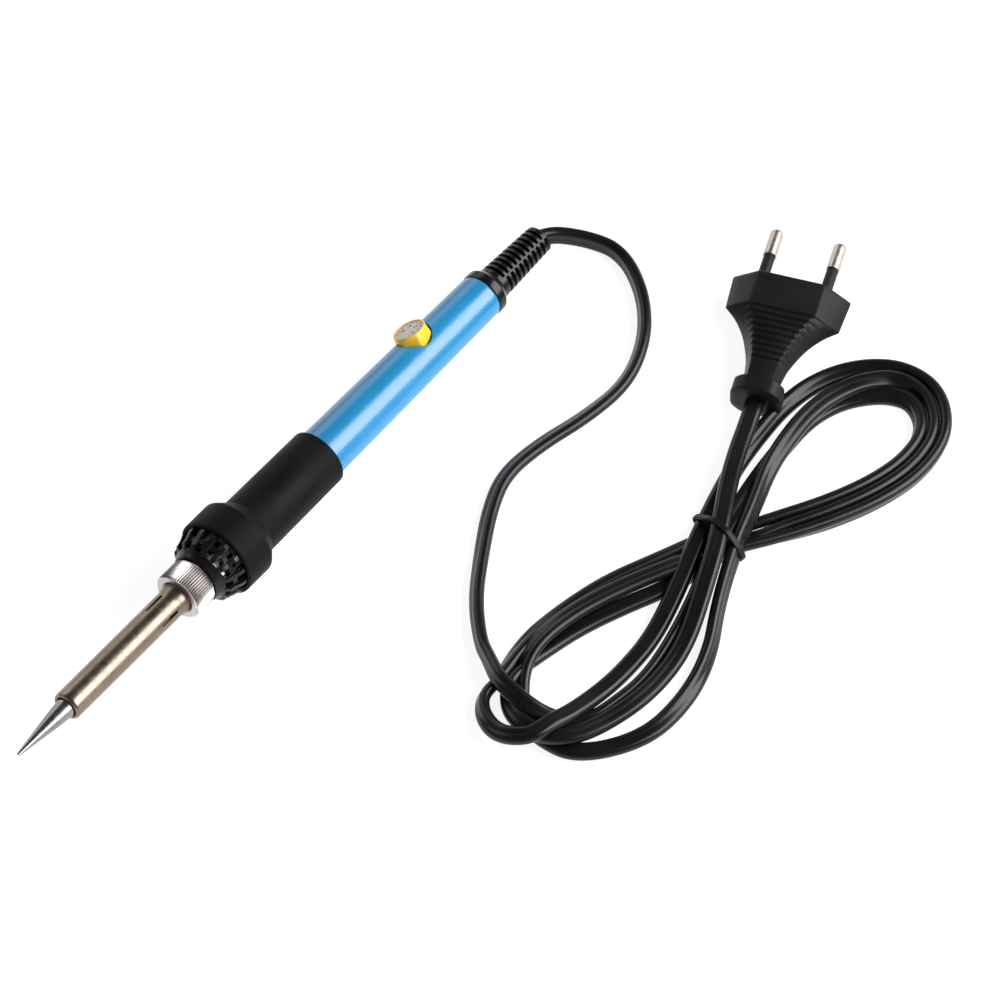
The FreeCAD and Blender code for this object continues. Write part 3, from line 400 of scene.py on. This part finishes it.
def make_boot():
    """The cord boot: ten staggered grooves on each side of two spines."""
    start, end, pitch, width, grooves = 215.3, 237.2, 1.98, 1.1, 10
    spine, bridge, floor = math.radians(-35), math.radians(2.5), 3.4

    def groove(station, radius, roll):
        side = math.sin(roll - spine)
        shift = 0.0 if side > 0 else 0.45 * pitch
        inside = (station - start - 1.4 - shift) / pitch
        if not 0 <= inside < grooves:
            return 0
        along = (inside % 1) * pitch
        edge = min(along, width - along)
        if edge <= 0:
            return 0
        steepness = min(edge / 0.16, 1) * min(max((abs(side) - math.sin(bridge)) / 0.06, 0), 1)
        return max(radius - floor, 0) * steepness

    outline = [(210, 3.95), (start, 3.95), (start, 5.05), (start + 0.15, 5.2)]
    fine, slope = 0.11, (5.2 - 4.3) / (end - start)
    rows = int((end - start - 1.2) / fine)
    outline += [(start + 0.3 + fine * row, 5.2 - slope * fine * row) for row in range(rows)]
    outline += eased([(end - 0.9, 4.34), (end, 4.3), (end, 2.4)], 1.0, 5)[1:] + [(210, 2.4)]
    boot = turned("cord_boot", outline, nylon, "handle", steps=144, wave=groove)
    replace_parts(boot, "strain_relief")


make_barrel()
make_nut()
make_grip()
make_tube()
make_cap()
make_boot()
for name in ("front_cage", "core_tube"):
    softened(frame["nodes"][name], 0.15)

# ---------------------------------------------------------------- temperature knob

KNOB_STEPS = 96
KNOB_SIDES = 6
KNOB_RIDGE = math.radians(250)


def knob_ring(height, radius, facets):
    """A ring of the knob: round where facets is 0, six-sided where it is 1."""
    ring = []
    for step in range(KNOB_STEPS):
        angle = 2 * math.pi * step / KNOB_STEPS
        off = ((angle - KNOB_RIDGE) % (2 * math.pi / KNOB_SIDES)) - math.pi / KNOB_SIDES
        flat = math.cos(math.pi / KNOB_SIDES) / math.cos(off)
        corner = 1 - (1 - flat) * facets
        reach = radius * min(corner, 1 - 0.035 * facets)
        ring.append(on_knob @ (Vector((reach * math.cos(angle), reach * math.sin(angle), height)) * MM))
    return ring


def make_knob():
    """The knob: a faceted skirt under a round rim, with the dial set in its top."""
    profile = [(3.0, 4.9, 1), (3.3, 5.5, 1), (5.8, 5.6, 1), (6.9, 5.5, 1), (7.6, 5.35, 0.75),
               (8.15, 5.15, 0.35), (8.5, 5.0, 0.1), (8.75, 4.88, 0), (8.88, 4.75, 0), (8.9, 4.6, 0),
               (8.86, 4.45, 0), (8.75, 4.36, 0), (8.55, 4.32, 0)]
    vertices = [point for row in profile for point in knob_ring(*row)]
    faces = stack_faces(len(profile), KNOB_STEPS)
    knob = mesh_piece("knob", vertices, faces, yellow, "knob", crease=50)
    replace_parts(knob, "temperature_knob")
    rows = [(8.5, 4.3, 0), (8.62, 4.28, 0), (8.66, 4.15, 0)]
    vertices = [point for row in rows for point in knob_ring(*row)]
    faces = stack_faces(len(rows), KNOB_STEPS)
    dial = mesh_piece("dial", vertices, faces, dial_grey, "knob")
    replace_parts(dial, "knob_dial")


def make_dial_marks():
    """Plain tick marks and numbers, raised a little on the dial."""
    vertices, faces = [], []
    ticks, numbers, travel = 11, 4, 270
    for tick in range(ticks):
        turn = Matrix.Rotation(math.radians((tick / (ticks - 1) - 0.5) * travel), 4, "Z")
        start = len(vertices)
        for x in (3.25, 3.85):
            for y in (-0.09, 0.09):
                vertices += [on_knob @ turn @ (Vector((x, y, z)) * MM) for z in (8.6, 8.72)]
        faces += shifted(BOX_FACES, start)
    for number in range(numbers):
        letters = bpy.data.curves.new("number", "FONT")
        letters.body, letters.size, letters.extrude = str(number + 1), 1.9 * MM, 0.03 * MM
        letters.align_x, letters.align_y, letters.resolution_u = "CENTER", "CENTER", 3
        holder = bpy.data.objects.new("number", letters)
        drawn = bpy.data.meshes.new_from_object(holder)
        turn = Matrix.Rotation(math.radians(-108 + 72 * number), 4, "Z")
        place = on_knob @ turn @ Matrix.Translation(Vector((2.1, 0, 8.69)) * MM)
        place = place @ Matrix.Rotation(math.radians(-90), 4, "Z")
        start = len(vertices)
        vertices += [place @ vertex.co for vertex in drawn.vertices]
        faces += shifted([polygon.vertices for polygon in drawn.polygons], start)
        bpy.data.objects.remove(holder)
        bpy.data.curves.remove(letters)
        bpy.data.meshes.remove(drawn)
    mesh_piece("dial_marks", vertices, faces, dial_ink, "knob")


make_knob()
make_dial_marks()

# ---------------------------------------------------------------- plug

# Distance behind the face, half width at mid height, half width on top, half thickness.
PLUG_SECTIONS = [
    (0, 17.6, 9.8, 6.5), (11.1, 16.9, 10.0, 6.5), (14.4, 13.3, 8.2, 6.4), (19.1, 9.9, 6.5, 6.2),
    (23.6, 7.8, 5.3, 5.9), (28.4, 6.2, 4.3, 5.6), (35.6, 5.2, 3.8, 5.4),
]
GROOVE_START, GROOVE_END, GROOVE_PITCH, GROOVE_DEPTH = 11.6, 29.0, 2.08, 0.5
COLLAR_START, COLLAR_END = 35.6, 41.0

# The collar's half width at mid height, half width on top, half thickness and knee height.
COLLAR_MID, COLLAR_TOP, COLLAR_THICK, COLLAR_KNEE = 7.4, 4.6, 6.2, 3.4

PIN_LENGTH, PIN_RADIUS, PIN_ROUNDING = 18.5, 2.0, 1.25
PIN_NECK, SLEEVE_LENGTH, SLEEVE_RADIUS = 1.4, 9.4, 1.7


def plug_size(back):
    """The plug's half widths and half thickness at a distance behind its face."""
    last = len(PLUG_SECTIONS) - 1
    index = max(i for i in range(last) if PLUG_SECTIONS[i][0] <= back or i == 0)
    here, there = PLUG_SECTIONS[index], PLUG_SECTIONS[index + 1]
    t = (back - here[0]) / (there[0] - here[0])
    if index == 0:
        return [a + (b - a) * t for a, b in zip(here[1:], there[1:])]
    before = PLUG_SECTIONS[max(index - 1, 1)]
    after = PLUG_SECTIONS[min(index + 2, last)]
    sizes = []
    for column in (1, 2, 3):
        start, end = here[column], there[column]
        leave = (end - before[column]) / (there[0] - before[0]) * (there[0] - here[0])
        arrive = (after[column] - start) / (after[0] - here[0]) * (there[0] - here[0])
        sizes.append((2 * t**3 - 3 * t**2 + 1) * start + (t**3 - 2 * t**2 + t) * leave
                     + (3 * t**2 - 2 * t**3) * end + (t**3 - t**2) * arrive)
    return sizes


def soft_loop(corners, radius):
    """A closed loop of three points for every corner, rounded by about that radius."""
    loop = []
    for index, corner in enumerate(corners):
        before, after = corners[index - 1], corners[(index + 1) % len(corners)]
        back, ahead = before - corner, after - corner
        start = corner + back.normalized() * min(radius, 0.4 * back.length)
        end = corner + ahead.normalized() * min(radius, 0.4 * ahead.length)
        loop += [start, (start + end) / 4 + corner / 2, end]
    return loop


def plug_ring(back, mid, top, thick, knee=None, dip=0.0, soft=0.55):
    """One ring of the plug, its corners rounded by soft, with a groove of depth dip on top and below.

    knee is the corner half way down each flank. A flank is straight without it.
    """
    knee = knee or ((mid + top) / 2, thick / 2)
    quarter = [(0, thick), (top, thick), knee, (mid, 0)]
    half = quarter + [(y, -z) for y, z in reversed(quarter[:-1])]
    corners = [Vector(p) for p in half] + [Vector((-y, z)) for y, z in reversed(half[1:-1])]
    ring = []
    for y, z in soft_loop(corners, soft):
        share = min(max((abs(z) - thick + 0.8) / 0.6, 0), 1)
        ring.append(on_plug @ (Vector((-back, y, z * (1 - share * dip / thick))) * MM))
    return ring


def make_plug():
    """The moulded plug: faceted head, grooved neck and eight-sided collar."""
    rings = []
    for back, inset in ((0, 0.7), (0.12, 0.3), (0.4, 0.08), (0.8, 0)):
        mid, top, thick = plug_size(back)
        rings.append(plug_ring(back, mid - inset, top - inset, thick - inset))
    stations = {1.5, 5.0, 10.5, 10.9, 11.1, 11.3, 29.8, 31.0, 32.4, 34.0, COLLAR_START - 0.1}
    dips = {}
    groove = GROOVE_START
    while groove < GROOVE_END:
        for along, share in ((0, 0), (0.22, 0.85), (0.35, 1), (0.8, 1), (0.93, 0.85), (1.15, 0), (1.6, 0)):
            dips[round(groove + along, 3)] = share * GROOVE_DEPTH
        groove += GROOVE_PITCH
    for back in sorted(stations | set(dips)):
        rings.append(plug_ring(back, *plug_size(back), dip=dips.get(back, 0)))
    collar = ((COLLAR_START, 0.5), (COLLAR_START + 0.5, 0), (COLLAR_END - 0.5, 0), (COLLAR_END, 0.6),
              (COLLAR_END + 0.02, 2.4))
    for back, inset in collar:
        mid, top, thick = (size - inset for size in (COLLAR_MID, COLLAR_TOP, COLLAR_THICK))
        knee = (mid, COLLAR_KNEE - inset * 0.6)
        rings.append(plug_ring(back, mid, top, thick, knee, soft=1.2))
    vertices = [point for ring in rings for point in ring]
    faces = stack_faces(len(rings), len(rings[0]))
    plug = mesh_piece("moulded_plug", vertices, faces, plug_pvc, "handle", crease=40)
    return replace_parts(plug, "plug_body")


def make_pins():
    """Two round pins with dark insulating sleeves."""
    half_spacing = (left_pin - right_pin).length / 2 / MM
    places = [on_plug @ Matrix.Translation(Vector((0, side * half_spacing, 0)) * MM) for side in (-1, 1)]
    end = [(PIN_LENGTH - PIN_ROUNDING * (1 - math.sin(a)), PIN_RADIUS - PIN_ROUNDING * (1 - math.cos(a)))
           for a in (math.pi / 2 * k / 6 for k in range(7))]
    outline = [(-5.9, PIN_NECK), (SLEEVE_LENGTH, PIN_NECK), (9.45, 1.9), (9.55, PIN_RADIUS), *end]
    pins = turned("pins", outline, nickel, "handle", steps=48, closed=False, places=places)
    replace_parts(pins, "plug_pins")
    bore = PIN_NECK + 0.02
    outline = [(0.05, bore), (0.05, SLEEVE_RADIUS), (SLEEVE_LENGTH, SLEEVE_RADIUS), (SLEEVE_LENGTH, bore)]
    sleeves = turned("sleeves", eased(outline, 0.12), sleeve_pvc, "handle", steps=48, places=places)
    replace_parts(sleeves, "pin_sleeves")
    return pins, sleeves


plug = make_plug()
pins, sleeves = make_pins()

# ---------------------------------------------------------------- mains cord

# Half the distance between the two cores, a core's radius and the groove's depth, in mm.
CORD_CORE = 1.1
CORD_RADIUS = 1.7
CORD_GROOVE = 0.22
CORD_EXIT = (118.37, 0.0, 5.828)

# From the boot to the hank: x, y, z and lean. A lean of 0 lies flat, and 90 stands on edge.
LEAD = [
    (*CORD_EXIT, 80), (121.7, -1.4, 5.3, 80), (125.4, -5.8, 4.3, 80), (128.7, -11.7, 3.3, 80),
    (130.4, -18.2, 2.8, 80), (127.9, -26.4, 2.8, 80), (120.5, -36.5, 2.8, 75), (109.8, -44.6, 2.7, 65),
    (95.5, -49.4, 2.6, 55), (79.5, -47.4, 2.5, 42), (64, -43.0, 2.4, 36), (49.5, -41.4, 2.4, 38),
    (37.2, -45.8, 2.5, 45), (23.5, -53.6, 2.6, 55), (10.3, -61.8, 2.7, 65), (-0.3, -72.0, 2.8, 75),
    (-3.8, -77.7, 4.0, 75), (-8.9, -84.9, 6.4, 60), (-10.4, -91.1, 7.0, 40), (-11.1, -97.2, 6.4, 25),
    (-9.8, -103, 4.4, 20), (-6.6, -108.4, 2.4, 22),
]

# The hank's stations, in the order that a turn passes them, each with (offset to the left, z, lean)
# of the first, second and third turn there.
HANK = [
    ((-7, -115), (5.7, 2.3, 29), (11.4, 3.9, 0), (-7.0, 1.8, 0)),
    ((4, -119.5), (4.5, 2.4, 38), (10.3, 3.4, 0), (-9.0, 1.8, 5)),
    ((18, -120), (2.9, 2.4, 39), (10.2, 2.3, 0), (-9.9, 2.3, 28)),
    ((33, -116.5), (1.5, 2.3, 27), (7.6, 2.3, 0), (-9.8, 2.7, 57)),
    ((49, -111), (-0.2, 4.0, 7), (6.0, 4.4, 0), (-6.4, 3.8, 70)),
    ((66, -105), (-0.4, 6.4, 2), (5.6, 6.4, 0), (-5.4, 6.6, 65)),
    ((81, -100), (-1.6, 5.0, 14), (5.4, 4.4, 8), (-5.6, 6.2, 55)),
    ((94, -96), (-2.6, 2.2, 10), (5.0, 2.6, 28), (-4.6, 5.6, 34)),
    ((105.1, -94.0), (-3.5, 1.9, 8), (4.2, 2.6, 45), (-4.4, 5.4, 20)),
    ((117.9, -92.7), (-4.4, 1.9, 8), (3.7, 2.4, 39), (-4.6, 5.3, 13)),
    ((129.4, -95.4), (-4.9, 1.9, 10), (4.3, 2.0, 16), (-3.7, 4.9, 10)),
    ((138.5, -101.7), (-5.0, 2.0, 15), (4.9, 2.0, 13), (-1.7, 4.6, 12)),
    ((144.0, -110.2), (-4.5, 2.3, 30), (4.7, 2.5, 45), (0.6, 3.4, 40)),
    ((144.4, -119.8), (-4.3, 2.6, 58), (4.1, 2.8, 70), (0.0, 2.8, 66)),
    ((136.4, -128.8), (-3.6, 2.8, 72), (3.6, 2.8, 75), (0.0, 2.8, 74)),
    ((123.6, -131.0), (-3.5, 2.8, 76), (3.5, 2.8, 76), (0.0, 2.8, 76)),
    ((110, -128.1), (-3.5, 2.8, 78), (3.5, 2.8, 78), (0.0, 2.8, 78)),
    ((95.9, -121.9), (-3.5, 2.8, 78), (3.5, 2.8, 78), (0.0, 2.8, 78)),
    ((82.2, -113.7), (-3.6, 2.8, 70), (3.6, 3.4, 60), (0.0, 2.7, 70)),
    ((67.8, -104.6), (-4.2, 2.1, 20), (2.6, 4.6, 20), (1.6, 1.9, 15)),
    ((52, -97.5), (-3.9, 1.9, 10), (1.2, 4.6, 8), (5.7, 1.9, 10)),
    ((37, -91.5), (-4.5, 1.9, 5), (0.4, 4.8, 5), (4.7, 1.9, 6)),
    ((22, -87), (-3.6, 1.9, 8), (-0.1, 5.1, 8), (3.4, 1.9, 6)),
    ((8, -84.5), (-3.0, 2.4, 36), (0.8, 5.0, 30), (2.8, 2.0, 14)),
    ((-5, -85.5), (-3.1, 2.8, 66), (4.5, 2.8, 52), (1.0, 2.6, 52)),
]
LEFT_END = [
    [(-14.6, -84.0, 2.8, 75), (-19.6, -87.8, 3.4, 60), (-22.8, -94.0, 4.8, 35), (-23.0, -99.8, 7.0, 15),
     (-19.8, -105.4, 8.6, 0), (-13.1, -106.9, 8.8, 0), (-6.5, -108.5, 6.8, 0)],
    [(-9.4, -93.2, 1.9, 20), (-12.6, -98.0, 1.8, 10), (-15.0, -104.4, 1.8, 5)],
    [(-9.1, -88.5, 2.8, 60), (-13.4, -92.9, 3.4, 40), (-16.0, -98.6, 4.8, 25), (-16.3, -104.7, 5.3, 10),
     (-13.3, -110.7, 5.2, 10), (-7.5, -114.9, 4.8, 12), (0.6, -117.8, 4.6, 15), (9.7, -120.0, 4.8, 15),
     (18.7, -120.7, 5.0, 12), (27.9, -120.0, 5.2, 8), (36.8, -117.7, 5.6, 0), (45.3, -114.4, 6.8, 0),
     (55.2, -110.3, 8.6, 0), (64.0, -106.5, 9.9, 0), (72.6, -101.8, 9.7, 0), (79.1, -98.0, 9.0, 0),
     (86.2, -94.2, 8.2, 3), (94.7, -90.2, 7.2, 2), (103.6, -86.7, 6.5, 0), (110.8, -83.69, 6.5, 0)],
]


def station_left(index):
    """The direction to the left of travel at one of the hank's stations."""
    before, after = HANK[index - 1][0], HANK[(index + 1) % len(HANK)][0]
    ahead = Vector((after[0] - before[0], after[1] - before[1])).normalized()
    return Vector((-ahead.y, ahead.x))


def cord_route():
    """Every control point of the cord as (x, y, z, lean), the hank's turns among them."""
    route = list(LEAD)
    for turn, end_points in enumerate(LEFT_END):
        for index, station in enumerate(HANK):
            if turn == 1 and index == 0:
                continue
            offset, height, lean = station[turn + 1]
            spot = Vector(station[0]) + station_left(index) * offset
            route.append((spot.x, spot.y, height, lean))
        route += end_points
    return route


def sampled(points, steps):
    """Points along the NURBS line that has these control points, in metres."""
    curve = bpy.data.curves.new("route", "CURVE")
    curve.dimensions, curve.resolution_u = "3D", steps
    spline = curve.splines.new("NURBS")
    spline.points.add(len(points) - 1)
    for control, place in zip(spline.points, points):
        control.co = (*place, 1)
    spline.order_u = 3
    spline.use_endpoint_u = True
    holder = bpy.data.objects.new("route", curve)
    line = bpy.data.meshes.new_from_object(holder)
    places = [vertex.co.copy() for vertex in line.vertices]
    bpy.data.objects.remove(holder)
    bpy.data.curves.remove(curve)
    bpy.data.meshes.remove(line)
    return places


def flat_directions(route):
    """The cord's wide direction at each control point, from the way it runs and its lean."""
    wides = []
    for index, point in enumerate(route):
        before, after = route[max(index - 1, 0)], route[min(index + 1, len(route) - 1)]
        ahead = Vector((after[0] - before[0], after[1] - before[1], 0)).normalized()
        left, lean = Vector((-ahead.y, ahead.x, 0)), math.radians(point[3])
        wides.append(left * math.cos(lean) + Vector((0, 0, math.sin(lean))))
    return wides


def cord_section():
    """The flat twin cord's outline, two rounded cores with a shallow groove between them, in mm."""
    half = [(CORD_CORE + CORD_RADIUS * math.cos(math.radians(a)), CORD_RADIUS * math.sin(math.radians(a)))
            for a in range(-80, 81, 20)]
    edge, edge_height, floor_height = 0.35, CORD_RADIUS - CORD_GROOVE * 0.8, CORD_RADIUS - CORD_GROOVE
    half.append((edge, edge_height))
    left = [(-x, y) for x, y in reversed(half)]
    below = [(-edge, -edge_height), (0, -floor_height), (edge, -edge_height)]
    return half + [(0, floor_height)] + left + below


def make_cord():
    """The flat cord along its whole route, kept on or above the table, and its centre line."""
    route = cord_route()
    centres = [Vector(point[:3]) * MM for point in route]
    wides = flat_directions(route)
    edges = [centre + wide * CORD_CORE * MM for centre, wide in zip(centres, wides)]
    steps = 10
    line, edge_line = sampled(centres, steps), sampled(edges, steps)
    section = cord_section()
    vertices = []
    for index, centre in enumerate(line):
        ahead = (line[min(index + 1, len(line) - 1)] - line[max(index - 1, 0)]).normalized()
        wide = edge_line[index] - centre
        wide = (wide - ahead * wide.dot(ahead)).normalized()
        across = ahead.cross(wide)
        rest = (CORD_RADIUS + CORD_CORE * abs(wide.z)) * MM
        centre.z = max(centre.z, rest)
        vertices += [centre + (wide * u + across * v) * MM for u, v in section]
    faces = stack_faces(len(line), len(section))
    cord = mesh_piece("mains_cord", vertices, faces, cord_pvc, "handle", crease=60)
    return cord, line


cord, cord_line = make_cord()
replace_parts(cord, "power_cord", "cord_bundle", "plug_lead")

# ---------------------------------------------------------------- tie

TIE_CENTRE = Vector((68.3, -104.4, 0)) * MM
TIE_YAW = math.radians(-6.9)
TIE_NORMAL = Vector((math.cos(TIE_YAW), math.sin(TIE_YAW), 0))
TIE_ACROSS = Vector((-math.sin(TIE_YAW), math.cos(TIE_YAW), 0))


def hull(points):
    """The convex hull of 2D points, anticlockwise."""
    points = sorted(set(points))
    halves = []
    for run in (points, points[::-1]):
        side = []
        for p in run:
            while len(side) > 1 and ((side[-1][0] - side[-2][0]) * (p[1] - side[-2][1])
                                     - (side[-1][1] - side[-2][1]) * (p[0] - side[-2][0])) <= 0:
                side.pop()
            side.append(p)
        halves += side[:-1]
    return [Vector(p) for p in halves]


def make_tie():
    """A thin band pulled tight round the strands where they cross."""
    reach, half, thick, sunk, steps = 1.3, 0.9, 0.7, 0.05, 96
    near = []
    for vertex in cord.data.vertices:
        offset = vertex.co - TIE_CENTRE
        if abs(offset.dot(TIE_NORMAL)) < reach * MM and abs(offset.dot(TIE_ACROSS)) < 15 * MM:
            near.append((round(offset.dot(TIE_ACROSS) / MM, 3), round(vertex.co.z / MM, 3)))
    loop = hull(near)
    lengths = [(loop[(k + 1) % len(loop)] - p).length for k, p in enumerate(loop)]
    total, path = sum(lengths), []
    for step in range(steps):
        left, index = total * step / steps, 0
        while left > lengths[index]:
            left -= lengths[index]
            index += 1
        path.append(loop[index].lerp(loop[(index + 1) % len(loop)], left / lengths[index]))
    for _ in range(2):
        path = [(path[k - 1] + path[k] * 2 + path[(k + 1) % steps]) / 4 for k in range(steps)]
    profile = [(-half, 0.1), (-half + 0.15, 0), (half - 0.15, 0), (half, 0.1), (half, thick - 0.2),
               (half - 0.25, thick), (-half + 0.25, thick), (-half, thick - 0.2)]
    vertices = []
    for k, point in enumerate(path):
        ahead = (path[(k + 1) % steps] - path[k - 1]).normalized()
        out = Vector((ahead.y, -ahead.x))
        for along, depth in profile:
            spot = point + out * (depth - sunk)
            place = TIE_CENTRE + (TIE_ACROSS * spot.x + TIE_NORMAL * along) * MM
            vertices.append(Vector((place.x, place.y, max(spot.y, 0.02) * MM)))
    faces = loop_faces(steps, len(profile))
    tie = mesh_piece("tie_band", vertices, faces, plug_pvc, "handle")
    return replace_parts(tie, "cord_tie")


tie = make_tie()

# ---------------------------------------------------------------- floor, light and camera

AIM = Vector((0.0431, -0.0451, 0))
CAMERA_ELEVATION = math.radians(55)
LOOK_ALONG = Vector((0.786, 0.618, 0))
FRAME_WIDTH = 0.2836


def make_floor():
    """A plain pale floor that is bright enough for its shadows to stay soft."""
    size = 6.0
    mesh = bpy.data.meshes.new("floor")
    corners = [(-size, -size, 0), (size, -size, 0), (size, size, 0), (-size, size, 0)]
    mesh.from_pydata(corners, [], [(0, 1, 2, 3)])
    material = new_material("floor", (0.35, 0.35, 0.35), 0.9)
    shader = material.node_tree.nodes["Principled BSDF"]
    shader.inputs["Emission Color"].default_value = (1, 1, 1, 1)
    shader.inputs["Emission Strength"].default_value = 0.88
    mesh.materials.append(material)
    floor = bpy.data.objects.new("floor", mesh)
    bpy.context.scene.collection.objects.link(floor)
    floor.location.z = -0.1 * MM


def soft_box(name, direction, distance, width, height, power):
    """A rectangular light that faces AIM from this direction."""
    light = bpy.data.lights.new(name, "AREA")
    light.shape, light.size, light.size_y, light.energy = "RECTANGLE", width, height, power
    lamp = bpy.data.objects.new(name, light)
    bpy.context.scene.collection.objects.link(lamp)
    toward = Vector(direction).normalized()
    lamp.location = AIM + toward * distance
    lamp.rotation_euler = toward.to_track_quat("Z", "Y").to_euler()


def make_world():
    """A studio that is dim overhead and brighter near the horizon."""
    world = bpy.data.worlds.new("studio")
    bpy.context.scene.world = world
    world.use_nodes = True
    tree = world.node_tree
    place = tree.nodes.new("ShaderNodeTexCoord")
    split = tree.nodes.new("ShaderNodeSeparateXYZ")
    ramp = tree.nodes.new("ShaderNodeValToRGB")
    ramp.color_ramp.elements[0].position, ramp.color_ramp.elements[0].color = 0.0, (0.40, 0.40, 0.39, 1)
    ramp.color_ramp.elements[1].position, ramp.color_ramp.elements[1].color = 0.85, (0.08, 0.08, 0.08, 1)
    tree.links.new(place.outputs["Generated"], split.inputs["Vector"])
    tree.links.new(split.outputs["Z"], ramp.inputs["Fac"])
    tree.links.new(ramp.outputs["Color"], tree.nodes["Background"].inputs["Color"])
    tree.nodes["Background"].inputs["Strength"].default_value = 1.0


def make_camera():
    """A long lens, almost without perspective, aimed at AIM."""
    data = bpy.data.cameras.new("camera")
    data.lens, data.sensor_width = 1000.0, 36.0
    camera = bpy.data.objects.new("camera", data)
    bpy.context.scene.collection.objects.link(camera)
    distance = FRAME_WIDTH * data.lens / data.sensor_width
    forward = LOOK_ALONG * math.cos(CAMERA_ELEVATION) - UP * math.sin(CAMERA_ELEVATION)
    forward.normalize()
    camera.location = AIM - forward * distance
    camera.rotation_euler = (-forward).to_track_quat("Z", "Y").to_euler()
    data.clip_start, data.clip_end = 0.1, 100.0
    bpy.context.scene.camera = camera


make_floor()
make_world()
soft_box("key", (0.451, -0.60, 0.57), 0.8, 0.85, 0.58, 11.0)
soft_box("back", (0.25, 0.85, 0.45), 1.0, 1.0, 0.5, 2.0)
make_camera()
bpy.context.scene.view_settings.view_transform = "Standard"
